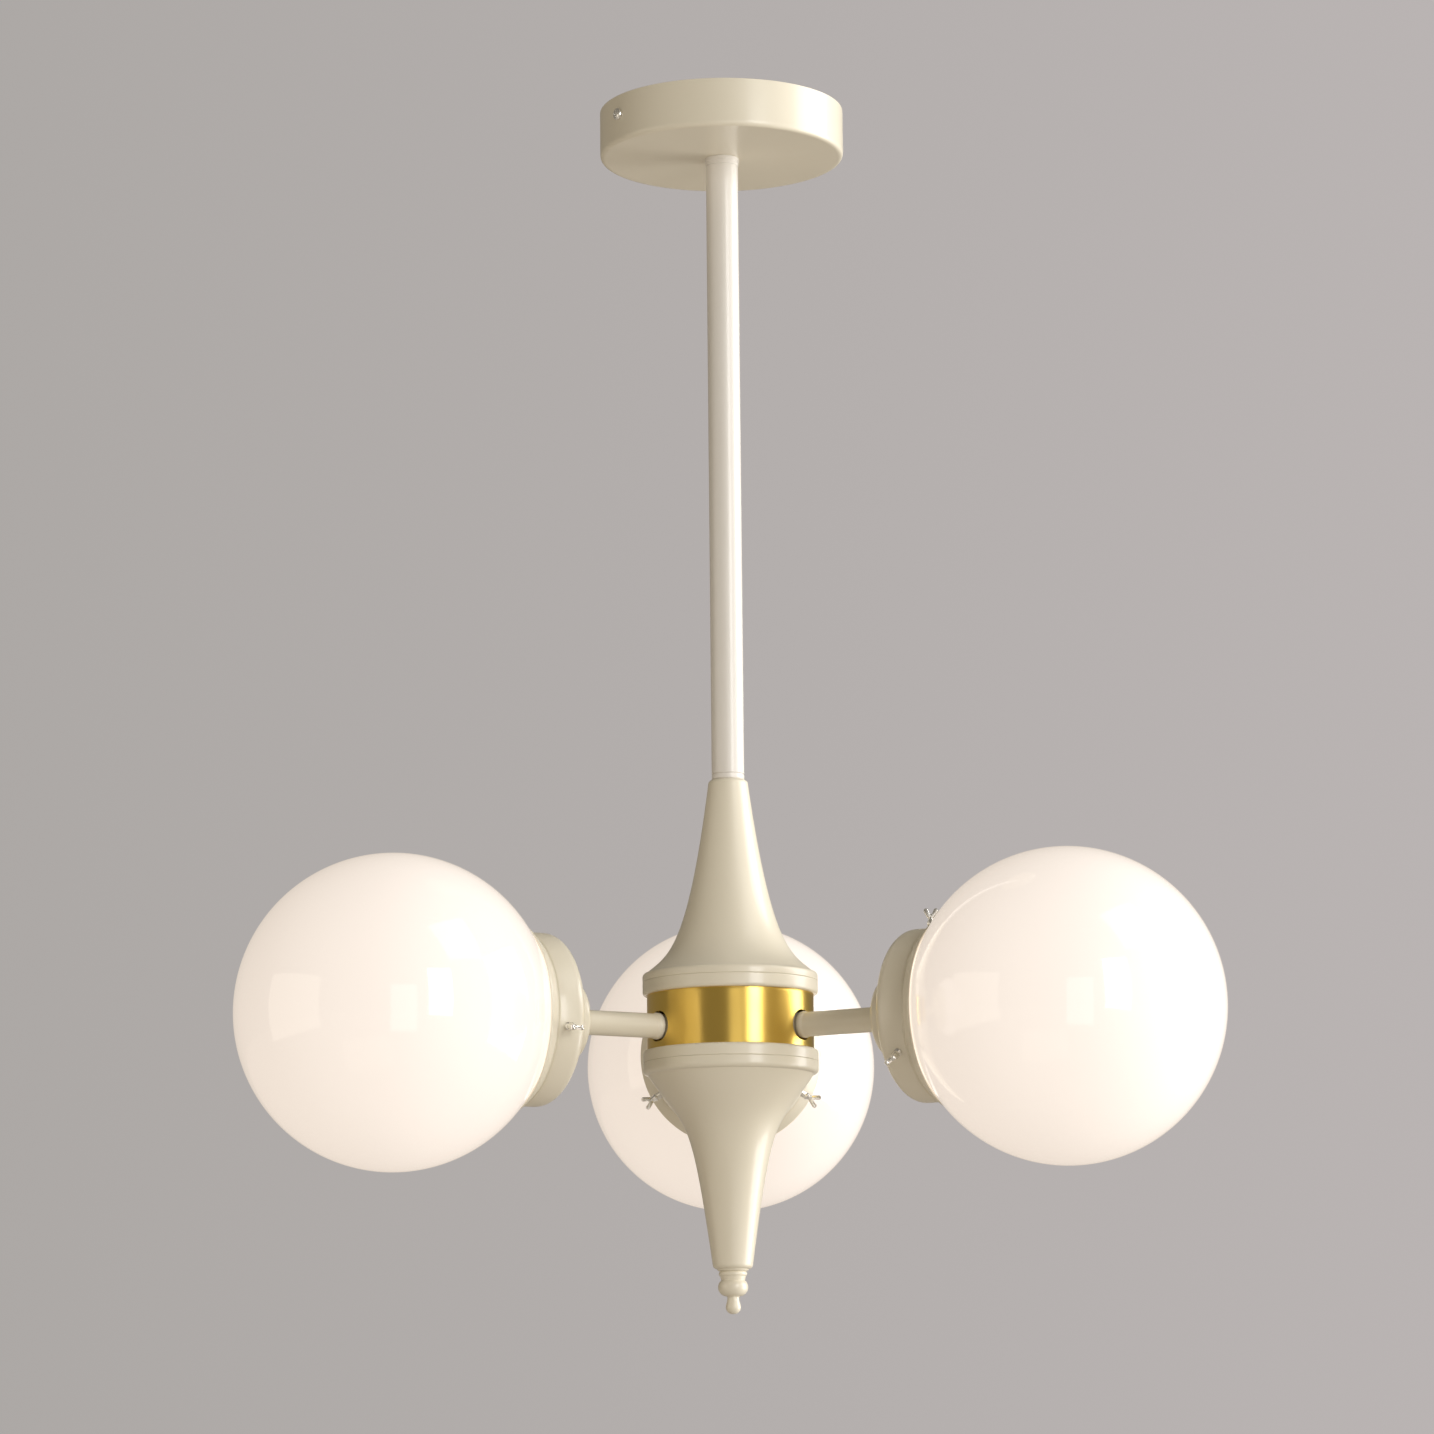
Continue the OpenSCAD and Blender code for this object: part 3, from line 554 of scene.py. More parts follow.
zinc_plate = finish_material(
    "zinc_plate", metallic=1.0, tone_a=(0.56, 0.56, 0.53), tone_b=(0.66, 0.65, 0.60),
    edge_tone=(0.78, 0.77, 0.74), cloud_scale=90.0, gloss_low=0.3, gloss_high=0.45,
    skin_scale=900.0, skin_depth=0.08, edge_width=0.3, edge_wear=0.6,
)

crossbar_width = 18 * mm
crossbar_thickness = 1.6 * mm
crossbar_reach = canopy_radius - sheet - 1 * mm
tab_level = canopy_high[2] - 15 * mm
ceiling_hole = 2.5 * mm
ceiling_hole_place = 35 * mm
earth_hole_place = -20 * mm
bend_radius = 2.2 * mm


def crossbar_strip():
    """The strip's upper and outer face as a folded row of faces, thickened on its inner side."""
    half = [Vector((0, 0)), Vector((crossbar_reach - bend_radius, 0))]
    for k in range(1, 7):
        a = pi / 12 * k
        half.append(Vector((crossbar_reach + bend_radius * (sin(a) - 1), bend_radius * (cos(a) - 1))))
    half.append(Vector((crossbar_reach, tab_level)))
    line = [Vector((-p.x, p.y)) for p in reversed(half[1:])] + half
    shape = bmesh.new()
    sides = (-crossbar_width / 2, crossbar_width / 2)
    edges = [[shape.verts.new((p.x, y, p.y)) for y in sides] for p in line]
    for near, far in zip(edges, edges[1:]):
        shape.faces.new((near[0], far[0], far[1], near[1]))
    strip = finished_mesh("crossbar_strip", shape)
    wall = strip.modifiers.new("wall", "SOLIDIFY")
    wall.thickness = crossbar_thickness
    wall.offset = -1
    wall.use_even_offset = True
    return strip


def upright_hole(radius, x):
    """A cutter for a hole through the strip."""
    cutter = rod_cutter(radius, -3 * crossbar_thickness, crossbar_thickness)
    cutter.data.transform(Matrix.Translation((x, 0, 0)))
    return cutter


tab_hole = along_x(rod_cutter(screw_shank + 0.05 * mm, -2 * crossbar_reach, 2 * crossbar_reach))
tab_hole.data.transform(Matrix.Translation((0, 0, side_screw_level)))
crossbar = cut_away("crossbar", crossbar_strip(), [
    upright_hole(ceiling_hole, ceiling_hole_place), upright_hole(ceiling_hole, -ceiling_hole_place),
    upright_hole(screw_shank, earth_hole_place), tab_hole,
], bevel=0.25 * mm)
crossbar.data.transform(Matrix.Rotation(crossbar_bearing, 4, "Z"))
keep_piece(crossbar, "fixed_frame", zinc_plate, "zinc", "ceiling_bracket")

washer_low, washer_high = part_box("canopy_washer")
washer_radius = 9 * mm
washer = turned("nipple_washer", softened([
    (nipple_hole, washer_low[2], 0), (washer_radius, washer_low[2], 0.2 * mm),
    (washer_radius, washer_high[2], 0.3 * mm), (nipple_hole, washer_high[2], 0.15 * mm),
]), 96)
keep_piece(washer, "fixed_frame", zinc_plate, "zinc", "canopy_washer")

pipe_radius = 4.9 * mm
nut_flats = 16 * mm


def hexagon_nut(name, bore, across_flats, low, high):
    """A nut along Z with its corners turned off at both ends."""
    corner = across_flats / 2 / cos(pi / 6)
    rise = 0.5 * (corner - across_flats / 2)
    blank = turned("blank", [(0, low), (corner, low), (corner, high), (0, high)], 6)
    dish = turned("dish", [(0, low - mm), (across_flats / 2 - mm, low - mm), (corner, low + rise),
                           (corner, high - rise), (across_flats / 2 - mm, high + mm), (0, high + mm)], 72)
    boolean(blank, "INTERSECT", dish)
    nut = cut_away(name, blank, [rod_cutter(bore, low - mm, high + mm, 48)], bevel=0.12 * mm)
    bpy.data.objects.remove(dish)
    return nut


nut_low, nut_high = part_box("canopy_nut")
canopy_nut = hexagon_nut("nipple_nut", pipe_radius + 0.05 * mm, nut_flats, nut_low[2], nut_high[2])
keep_piece(canopy_nut, "fixed_frame", zinc_plate, "zinc", "canopy_nut")


# ---- Nipple, stem and its two collars ----
# A hollow threaded nipple hangs the stem from the canopy. The stem is one straight steel tube
# between a stepped collar and a plain ring. All three are enamelled in a paler cream.

stem_enamel = enamel("stem_enamel", tone_a=(0.80, 0.76, 0.70), tone_b=(0.83, 0.80, 0.745),
                     edge_tone=(0.86, 0.83, 0.78))
nipple_low, nipple_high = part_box("top_nipple")
pipe_bore = 3.5 * mm
pipe_pitch = 1 * mm
nipple = turned("stem_nipple", [
    (pipe_bore, nipple_low[2]), (pipe_radius - 0.4 * mm, nipple_low[2]),
    *thread_points(pipe_radius, nipple_low[2], nipple_high[2], pipe_pitch),
    (pipe_radius - 0.5 * mm, nipple_high[2]), (pipe_bore, nipple_high[2]),
], 64)
keep_piece(nipple, "fixed_frame", zinc_plate, "zinc", "top_nipple")

tube_low, tube_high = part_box("stem_tube")
collar_low, collar_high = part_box("stem_top_bush")
ring_low, ring_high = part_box("stem_foot_bush")
stem_radius = 8 * mm
stem_bore = 6.8 * mm
spigot = stem_bore - 0.05 * mm
tapping = pipe_radius + 0.05 * mm
collar_radius = 8.5 * mm
collar_step = 8.25 * mm
collar_middle = (collar_high[2] + tube_high[2]) / 2
fine = 0.3 * mm
groove = 0.5 * mm

stem_collar = turned("stem_collar", softened([
    (tapping, collar_low[2], 0), (spigot, collar_low[2], fine), (spigot, tube_high[2], 0),
    (collar_step, tube_high[2], fine), (collar_step, collar_middle, 0.1 * mm),
    (collar_radius, collar_middle, fine), (collar_radius, collar_high[2], 0.2 * mm),
    (tapping, collar_high[2], 0),
]), 96)
keep_piece(stem_collar, "fixed_frame", stem_enamel, "cream_paint", "stem_top_bush")

stem = turned("stem", softened([
    (stem_bore, tube_low[2], 0), (stem_radius, tube_low[2], 0.2 * mm),
    (stem_radius, tube_high[2], 0.2 * mm), (stem_bore, tube_high[2], 0),
]), 96)
keep_piece(stem, "fixed_frame", stem_enamel, "cream_paint", "stem_tube")

stem_ring = turned("stem_foot_ring", softened([
    (tapping, ring_low[2], 0), (stem_radius - groove, ring_low[2], 0),
    (stem_radius, ring_low[2] + groove, 0.15 * mm), (stem_radius, tube_low[2] - groove, 0.15 * mm),
    (stem_radius - groove, tube_low[2], 0),
    (spigot, tube_low[2], 0), (spigot, ring_high[2], fine), (tapping, ring_high[2], 0),
]), 96)
keep_piece(stem_ring, "fixed_frame", stem_enamel, "cream_paint", "stem_foot_bush")


# ---- Bells ----
# Two bells spun from steel sheet stand wide end to wide end round the hub. The lower one has a
# fuller flare. Each ends in a plain upright rim with a hairline groove against its plate.

rim_radius = 42.8 * mm
neck_radius = 9.8 * mm
neck_shoulder = 2.2 * mm
line_radius = 0.45 * mm


def arc(r, z, radius, start, end, steps=8):
    """Points of an arc about (r, z), between two angles in degrees."""
    angles = [radians(start + (end - start) * s / steps) for s in range(steps + 1)]
    return [Vector((r + radius * cos(a), z + radius * sin(a))) for a in angles]


def flare(a, b, c, d, inset=0.0, steps=56):
    """Points of a cubic curve with handles b and c, moved square to itself by an inset."""
    points = []
    for s in range(steps + 1):
        t = s / steps
        u = 1 - t
        along = u * u * (b - a) + 2 * u * t * (c - b) + t * t * (d - c)
        here = u**3 * a + 3 * u * u * t * b + 3 * u * t * t * c + t**3 * d
        points.append(here + inset * Vector((-along.y, along.x)).normalized())
    return points


def bell(name, node, rim_height, foot, neck_slope, neck_pull, foot_slope, foot_pull, wide_end_up):
    """A bell drawn by its distance from the narrow end, then stood on its place."""
    low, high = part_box(node)
    height = high[2] - low[2]
    end = height - rim_height
    a = Vector((neck_radius, neck_shoulder))
    d = Vector((rim_radius - foot, end))
    handles = (a, a + neck_pull * Vector((neck_slope, 1)), d - foot_pull * Vector((foot_slope, 1)), d)
    neck_floor = sheet + neck_shoulder
    inside = [p for p in flare(*handles, inset=sheet) if p.y > neck_floor]
    outline = [
        Vector((nipple_hole, 0)),
        *arc(neck_radius - neck_shoulder, neck_shoulder, neck_shoulder, -90, 0)[:-1],
        *flare(*handles),
        *arc(rim_radius - foot, end + foot, foot, -60, 0)[1:],
        *arc(rim_radius - line_radius, height - line_radius, line_radius, 0, 90, 5),
        Vector((rim_radius - sheet, height)),
        Vector((rim_radius - sheet, end + foot + sheet)),
        *reversed(inside),
        Vector((inside[0].x, neck_floor)),
        Vector((nipple_hole, neck_floor)),
    ]
    if wide_end_up:
        placed = [(p.x, low[2] + p.y) for p in outline]
    else:
        placed = [(p.x, high[2] - p.y) for p in outline]
    keep_piece(turned(name, placed, 192), "fixed_frame", cream_enamel, "cream_paint", node)


bell("upper_bell_shell", "upper_bell", rim_height=4.5 * mm, foot=2 * mm, neck_slope=0.134,
     neck_pull=82 * mm, foot_slope=1.18, foot_pull=9 * mm, wide_end_up=False)
bell("lower_bell_shell", "lower_bell", rim_height=6 * mm, foot=2.4 * mm, neck_slope=0.137,
     neck_pull=78 * mm, foot_slope=0.66, foot_pull=28 * mm, wide_end_up=True)


# ---- Plates above and below the band ----
# Two turned steel discs, enamelled cream. Each is rounded on the band's side and has a low step
# that centres the band.

plate_rounding = 3.5 * mm
plate_step = 1 * mm
band_radius = 40.7 * mm
band_wall = 1.5 * mm
step_radius = band_radius - band_wall - 0.25 * mm


def plate(name, node, bell_side, step_end):
    """A plate from the level at its bell to the level at the end of its step."""
    toward = 1 if step_end > bell_side else -1
    face = step_end - toward * plate_step
    keep_piece(turned(name, softened([
        (nipple_hole, bell_side, 0), (rim_radius, bell_side, line_radius),
        (rim_radius, face, plate_rounding), (step_radius, face, 0.15 * mm),
        (step_radius, step_end, 0.2 * mm), (nipple_hole, step_end, 0),
    ], steps=10), 192), "fixed_frame", cream_enamel, "cream_paint", node)


upper_low, upper_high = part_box("upper_plate")
lower_low, lower_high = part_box("lower_plate")
plate("upper_plate_disc", "upper_plate", upper_high[2], upper_low[2])
plate("lower_plate_disc", "lower_plate", lower_low[2], lower_high[2])


# ---- Brass band ----
# A ring cut from brass tube, brushed round and round on the lathe and lacquered. Each arm passes
# through a round-ended slot, set a little below the middle of the band.

arm_bearings = [radians(210), radians(330), radians(90)]
globe_low, globe_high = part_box("globe_3")
arm_level = (globe_low[2] + globe_high[2]) / 2
band_low, band_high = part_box("brass_band")
slot_end = 7.3 * mm
slot_run = 1.2 * mm
patch_half = 9.4 * mm
patch_cells = 16
patch_rings = 5
ring_crowding = 1.6
rows_above = 5
side_columns = 22


def slot_edge(s, z):
    """The point on the slot's edge in the direction of (s, z)."""
    far = hypot(s, z)
    across, up = abs(s) / far, abs(z) / far
    if slot_end * across <= slot_run * up:
        reach = slot_end / up
    else:
        reach = slot_run * across + sqrt((slot_run * across) ** 2 + slot_end**2 - slot_run**2)
    return reach * s / far, reach * z / far


def band_sheet():
    """The band's outer face, wrapped on a cylinder, with a square patch of rings round each slot.
    Its UV map runs up the band in U and round it in V."""
    shape = bmesh.new()
    wrap = shape.loops.layers.uv.new("wrap")
    where = {}

    def corner(s, z, bearing):
        made = shape.verts.new((band_radius * cos(bearing + s / band_radius),
                                band_radius * sin(bearing + s / band_radius), z))
        where[made] = ((z - band_low[2]) / mm / 10, (bearing * band_radius + s) / mm / 10)
        return made

    def face(corners):
        made = shape.faces.new(corners)
        for loop in made.loops:
            loop[wrap].uv = where[loop.vert]

    cell = 2 * patch_half / patch_cells
    patch_line = [-patch_half + cell * k for k in range(patch_cells + 1)]
    below = [band_low[2] - arm_level, *patch_line]
    above = band_high[2] - arm_level - patch_half
    levels = below + [patch_half + above * k / rows_above for k in range(1, rows_above + 1)]
    sector = band_radius * 2 * pi / len(arm_bearings) / 2
    side = [patch_half + (sector - patch_half) * k / side_columns for k in range(1, side_columns + 1)]
    columns = [-s for s in reversed(side)] + patch_line + side
    for bearing in arm_bearings:
        grid = [[None if abs(s) < patch_half - 1e-9 and abs(z) < patch_half - 1e-9
                 else corner(s, arm_level + z, bearing) for z in levels] for s in columns]
        for i in range(len(columns) - 1):
            for j in range(len(levels) - 1):
                quad = (grid[i][j], grid[i + 1][j], grid[i + 1][j + 1], grid[i][j + 1])
                middle = (columns[i] + columns[i + 1]) / 2, (levels[j] + levels[j + 1]) / 2
                if max(abs(middle[0]), abs(middle[1])) > patch_half:
                    face(quad)
        square = [(s, -patch_half) for s in patch_line[:-1]] + [(patch_half, z) for z in patch_line[:-1]]
        square += [(-s, -z) for s, z in square]
        rings = []
        for k in range(patch_rings + 1):
            part = (k / patch_rings) ** ring_crowding
            row = []
            for s, z in square:
                near_s, near_z = slot_edge(s, z)
                near_s = band_radius * asin(near_s / band_radius)
                row.append(corner(near_s + (s - near_s) * part, arm_level + near_z + (z - near_z) * part,
                                  bearing))
            rings.append(row)
        for near, far in zip(rings, rings[1:]):
            for k in range(len(square)):
                n = (k + 1) % len(square)
                face((near[k], far[k], far[n], near[n]))
    bmesh.ops.remove_doubles(shape, verts=shape.verts, dist=0.01 * mm)
    bmesh.ops.recalc_face_normals(shape, faces=shape.faces)
    return finished_mesh("band_sheet", shape)


brush_stretch = (60, 60, 5200)


def build_brushed_lines():
    """Fine brushed lines round Z, as a height."""
    group, given, out = shader_group("brushed_lines", {"Line Scale": 1.0}, {"Height": "NodeSocketFloat"})
    place = add_node(group, "ShaderNodeTexCoord").outputs["Object"]
    squeezed = add_node(group, "ShaderNodeVectorMath", place, brush_stretch,
                        settings={"operation": "MULTIPLY"})
    give_inputs(group, out, height=noise(group, squeezed.outputs[0], given.outputs["Line Scale"], 3))
    return group


satin_brass = finish_material(
    "satin_brass", metallic=1.0, tone_a=(0.80, 0.55, 0.12), tone_b=(0.86, 0.61, 0.16),
    edge_tone=(0.95, 0.78, 0.42), cloud_scale=18.0, gloss_low=0.28, gloss_high=0.33,
    skin_scale=1500.0, skin_depth=0.01, edge_width=0.25, edge_wear=0.6,
)
brass_tree = satin_brass.node_tree
lines = add_node(brass_tree, "ShaderNodeGroup", settings={"node_tree": build_brushed_lines()})
brushed = add_node(brass_tree, "ShaderNodeBump", distance=0.05 * mm, strength=0.06,
                   height=lines.outputs["Height"], normal=brass_tree.nodes["finish"].outputs["Normal"])
tangent = add_node(brass_tree, "ShaderNodeTangent", settings={"direction_type": "UV_MAP", "uv_map": "wrap"})
set_shader(satin_brass, anisotropic=0.75, normal=brushed.outputs["Normal"],
           tangent=tangent.outputs["Tangent"])

band_base = band_sheet()
band_thickness = band_base.modifiers.new("wall", "SOLIDIFY")
band_thickness.thickness = band_wall
band_thickness.offset = -1
brass_band = cut_away("brushed_band", band_base, [], bevel=0.2 * mm)
keep_piece(brass_band, "fixed_frame", satin_brass, "satin_brass", "brass_band")


# ---- Hub, pipe, rods and nuts inside the column ----
# A six-sided zinc casting takes the arms on its flats. A hollow threaded pipe ties the column
# together from the stem to the finial, and a hollow rod and two nuts hold each arm.

dark_casting = finish_material(
    "dark_casting", metallic=0.8, tone_a=(0.10, 0.10, 0.10), tone_b=(0.16, 0.155, 0.15),
    edge_tone=(0.34, 0.33, 0.32), cloud_scale=70.0, gloss_low=0.45, gloss_high=0.65,
    skin_scale=700.0, skin_depth=0.35, edge_width=0.5, edge_wear=0.6,
)


def finish_node(node, material):
    """Gives a CAD node that stays in view its material."""
    mesh = cad_nodes[node].data
    mesh.materials.clear()
    mesh.materials.append(material)


finish_node("hub", dark_casting)
for node in ("centre_pipe", "pipe_nuts", "hub_nuts", "holder_nuts", "arm_rod_1", "arm_rod_2", "arm_rod_3"):
    finish_node(node, zinc_plate)


# ---- Finial ----
# A small turned finial, enamelled cream. It screws onto the end of the pipe and holds up the
# lower bell.

finial_low, finial_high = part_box("finial")
finial_height = (finial_high[2] - finial_low[2]) / mm
tapped_radius = 4.95
tapped_depth = 8
flange = [(7.8, 0), (7.4, -0.8)]
bead = arc(5.6, -2.4, 1.3, 60, -60, 12)
bowl = arc(2.9, -8.8, 4.4, 50, -85, 24)
finial_waist = [(2.85, -13.6), (2.85, -14.6), (3.1, -15.8), (3.5, -17.2)]
drop_radius = 3.25
drop_level = 3.4 - finial_height
finial_outline = [
    (0, -tapped_depth), (tapped_radius, -tapped_depth), (tapped_radius, 0), *flange, *bead, *bowl,
    *finial_waist, *arc(0.4, drop_level, drop_radius, 12, -90, 18), (0, drop_level - drop_radius),
]
finial = turned("turned_finial", [(r * mm, finial_high[2] + z * mm) for r, z in finial_outline], 96)
keep_piece(finial, "fixed_frame", cream_enamel, "cream_paint", "finial")


# ---- Arms ----
# Three steel tubes, enamelled cream. Each stands on a flat of the hub, passes through its slot in
# the band with a slightly wider collar, and is pulled tight by the threaded rod inside it.

arm_radius = 6 * mm
arm_collar = 6.5 * mm
arm_bore = 4.2 * mm
hub_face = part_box("arm_tube_3")[0][1]
arm_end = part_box("arm_tube_3")[1][1]
collar_start = band_radius - 0.5 * mm
arm_collar_length = 3 * mm
collar_end = collar_start + arm_collar_length


def copy_of(piece):
    """A linked copy of a piece, with a mesh of its own."""
    return linked("copy", piece.data.copy())


def on_arm(name, template, arm, finish, body, slot, *nodes):
    """Copies a template, drawn along +X from the column's middle, onto one arm and keeps it."""
    piece = ring(name, copy_of(template), 1, 0.0, arm_bearings[arm], arm_level, finish)
    keep_piece(piece, body, finish, slot, *nodes)


arm_template = along_x(turned("arm_template", [
    (arm_bore, hub_face), (arm_radius, hub_face), (arm_radius, collar_start - mm),
    (arm_radius + 0.15 * mm, collar_start - 0.9 * mm), (arm_collar - 0.1 * mm, collar_start),
    (arm_collar, collar_start + 0.3 * mm), (arm_collar, collar_end - 1.1 * mm),
    (arm_collar - 0.12 * mm, collar_end - 0.8 * mm), (arm_radius + 0.05 * mm, collar_end),
    (arm_radius, collar_end + 0.3 * mm), (arm_radius, arm_end), (arm_bore, arm_end),
], 128, sharp=50))
for arm in range(3):
    on_arm(f"arm_{arm + 1}", arm_template, arm, cream_enamel, "fixed_frame", "cream_paint",
           f"arm_tube_{arm + 1}")
bpy.data.objects.remove(arm_template)


# ---- Globe holders ----
# Spun steel cups, enamelled cream, each with a boss where the arm meets it, a round shoulder and
# a flared lip that follows the glass. Three tapped holes in the wall take the thumb screws.

globe_place = 183 * mm
globe_radius = 75 * mm
lip_gap = 0.4 * mm
boss_radius = 19.6 * mm
cup_radius = 41.5 * mm
lip_radius = 46.2 * mm
shoulder = 5.5 * mm
holder_bend = 3 * mm
rod_hole = 4.2 * mm
cup_front = globe_place - sqrt((globe_radius + lip_gap) ** 2 - lip_radius**2)
boss_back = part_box("globe_holder_3")[0][1]
cup_depth = 22.5 * mm
cup_back = cup_front - cup_depth
screw_setback = 10.5 * mm
screw_place = cup_back + screw_setback
screw_radius = 1.9 * mm
screw_turns = [20, 0, 0]


def seat(r):
    """Distance along the arm at which the lip meets the glass at a radius."""
    return globe_place - sqrt((globe_radius + lip_gap) ** 2 - r * r)


groove_setback = 3.6 * mm
lip_groove = seat(cup_radius) - groove_setback
groove_floor = cup_radius - 0.5 * mm
lip_outside = [Vector((groove_floor, lip_groove + 0.5 * mm)), Vector((cup_radius + mm, lip_groove + mm)),
               Vector((lip_radius - 2 * mm, cup_front - 3.2 * mm)),
               Vector((lip_radius - 0.4 * mm, cup_front - 1.7 * mm))]
lip_inside = [lip_radius - 0.4 * mm - k * 0.6 * mm for k in range(9)]
holder_template = along_x(turned("holder_template", [
    (rod_hole, boss_back),
    *arc(boss_radius - holder_bend, boss_back + holder_bend, holder_bend, -90, 0, 12),
    *arc(boss_radius + holder_bend, cup_back - holder_bend, holder_bend, 180, 90, 12),
    *arc(cup_radius - shoulder, cup_back + shoulder, shoulder, -90, 0, 14),
    (cup_radius, lip_groove - 0.7 * mm), (cup_radius - 0.1 * mm, lip_groove - 0.45 * mm),
    (groove_floor, lip_groove), *flare(*lip_outside, steps=12),
    (lip_radius - 0.08 * mm, cup_front - 1.2 * mm), (lip_radius, cup_front - 0.8 * mm),
    (lip_radius - 0.05 * mm, cup_front - 0.4 * mm),
    *[(r, seat(r)) for r in lip_inside],
    (cup_radius - sheet, lip_groove - 0.5 * mm),
    *arc(cup_radius - shoulder, cup_back + shoulder, shoulder - sheet, 0, -90, 12),
    *arc(boss_radius + holder_bend, cup_back - holder_bend, holder_bend + sheet, 90, 180, 12),
    *arc(boss_radius - holder_bend, boss_back + holder_bend, holder_bend - sheet, 0, -90, 10),
    (rod_hole, boss_back + sheet),
], 192))


def thumb_turn(arm, k):
    """Matrix from a screw drawn up Z to its place on the cup, in the arm's own frame."""
    return (Matrix.Translation((screw_place, 0, 0))
            @ Matrix.Rotation(radians(screw_turns[arm] + 120 * k), 4, "X"))


for arm in range(3):
    drills = [rod_cutter(screw_radius + 0.05 * mm, cup_radius - 3 * mm, cup_radius + mm) for _ in range(3)]
    for k, drill in enumerate(drills):
        drill.data.transform(thumb_turn(arm, k))
    drilled = cut_away("drilled_holder", copy_of(holder_template), drills)
    on_arm(f"holder_{arm + 1}", drilled, arm, cream_enamel, "fixed_frame", "cream_paint",
           f"globe_holder_{arm + 1}")
    bpy.data.objects.remove(drilled)
bpy.data.objects.remove(holder_template)


# ---- Thumb screws ----
# Nickel-plated screws with a waisted neck and two short round wings. Three of them press on each
# globe's neck behind its bead.

screw_tip = 39.35 * mm
screw_height = 9.8 * mm
screw_top = cup_radius + screw_height
wing_reach = 2.35 * mm
wing_end = 1.15 * mm
wing_thickness = 2.2 * mm
wing_turns = [0, 30, 90]
waist = screw_radius - 0.5 * mm


def winged_head():
    """The flat Y-shaped head of a thumb screw, thickened and with softened edges."""
    outline = [Vector((-waist, screw_top - 5 * mm)), Vector((waist, screw_top - 5 * mm)),
               *arc(wing_reach, screw_top - wing_end, wing_end, -35, 150, 12),
               Vector((0.55 * mm, screw_top - 2.5 * mm)), Vector((0, screw_top - 2.95 * mm)),
               Vector((-0.55 * mm, screw_top - 2.5 * mm)),
               *arc(-wing_reach, screw_top - wing_end, wing_end, 30, 215, 12)]
    shape = bmesh.new()
    half = wing_thickness / 2
    front = [shape.verts.new((p.x, -half, p.y)) for p in outline]
    back = [shape.verts.new((p.x, half, p.y)) for p in outline]
    shape.faces.new(front)
    shape.faces.new(list(reversed(back)))
    for k in range(len(outline)):
        n = (k + 1) % len(outline)
        shape.faces.new((front[n], front[k], back[k], back[n]))
    bmesh.ops.recalc_face_normals(shape, faces=shape.faces)
    return cut_away("winged_head", finished_mesh("winged_head", shape), [], bevel=0.35 * mm, sharp=60)


def thumb_screw(arm):
    """A whole thumb screw drawn up Z: threaded shank, waist and head."""
    shank_end = cup_radius + 3.2 * mm
    shank = turned("shank", [
        (0, screw_tip), (screw_radius - 0.4 * mm, screw_tip),
        (screw_radius - 0.15 * mm, screw_tip + 0.3 * mm),
        *thread_points(screw_radius, screw_tip + 0.4 * mm, shank_end - 0.4 * mm, screw_pitch),
        (screw_radius, shank_end), (waist, shank_end + 0.8 * mm), (waist, screw_top - 4 * mm),
        (0, screw_top - 4 * mm),
    ], 32)
    head = winged_head()
    head.data.transform(Matrix.Rotation(radians(wing_turns[arm]), 4, "Z"))
    boolean(shank, "UNION", head)
    made = cut_away("thumb_screw", shank, [])
    bpy.data.objects.remove(head)
    return made


for arm in range(3):
    screw = thumb_screw(arm)
    for k in range(3):
        turned_screw = copy_of(screw)
        turned_screw.data.transform(thumb_turn(arm, k))
        mark = f"{arm + 1}_{k + 1}"
        on_arm(f"wing_screw_{mark}", turned_screw, arm, bright_nickel, f"thumb_screw_{mark}", "nickel",
               f"thumb_screw_{mark}")
        bpy.data.objects.remove(turned_screw)
    bpy.data.objects.remove(screw)


# ---- Lamp holders ----
# White moulded lamp holders with a wider skirt and a threaded bore. Each is screwed on the end of
# its arm's rod, inside the globe holder.

white_moulding = finish_material(
    "white_moulding", tone_a=(0.80, 0.79, 0.75), tone_b=(0.76, 0.75, 0.71), edge_tone=(0.84, 0.83, 0.80),
    gloss_low=0.3, gloss_high=0.42, skin_scale=900.0, skin_depth=0.1,
)

lamp_holder_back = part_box("lamp_holder_3")[0][1]
lamp_holder_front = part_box("lamp_holder_3")[1][1]
lamp_holder_radius = 17 * mm
back_thickness = 8 * mm
lamp_holder_floor = lamp_holder_back + back_thickness
cap_bore = 13.4 * mm
rod_bore = 4.05 * mm
skirt_length = 12 * mm
skirt_back = lamp_holder_front - skirt_length
lamp_holder_template = along_x(turned("lamp_holder_template", softened([
    (rod_bore, lamp_holder_back, 0), (lamp_holder_radius - 4 * mm, lamp_holder_back, 0.5 * mm),
    (lamp_holder_radius - 1.2 * mm, lamp_holder_back + 3 * mm, mm),
    (lamp_holder_radius - 1.2 * mm, skirt_back, 0.3 * mm),
    (lamp_holder_radius, skirt_back + mm, 0.4 * mm),
    (lamp_holder_radius, lamp_holder_front, mm), (cap_bore, lamp_holder_front, 0.4 * mm),
    (cap_bore, lamp_holder_floor, 0), (rod_bore, lamp_holder_floor, 0),
]), 96))
for arm in range(3):
    on_arm(f"socket_{arm + 1}", lamp_holder_template, arm, white_moulding, "fixed_frame", "white_plastic",
           f"lamp_holder_{arm + 1}")
bpy.data.objects.remove(lamp_holder_template)


# ---- Lamps ----
# Round lamps with a frosted moulded dome on a threaded nickel-plated cap. One is screwed into each
# lamp holder.

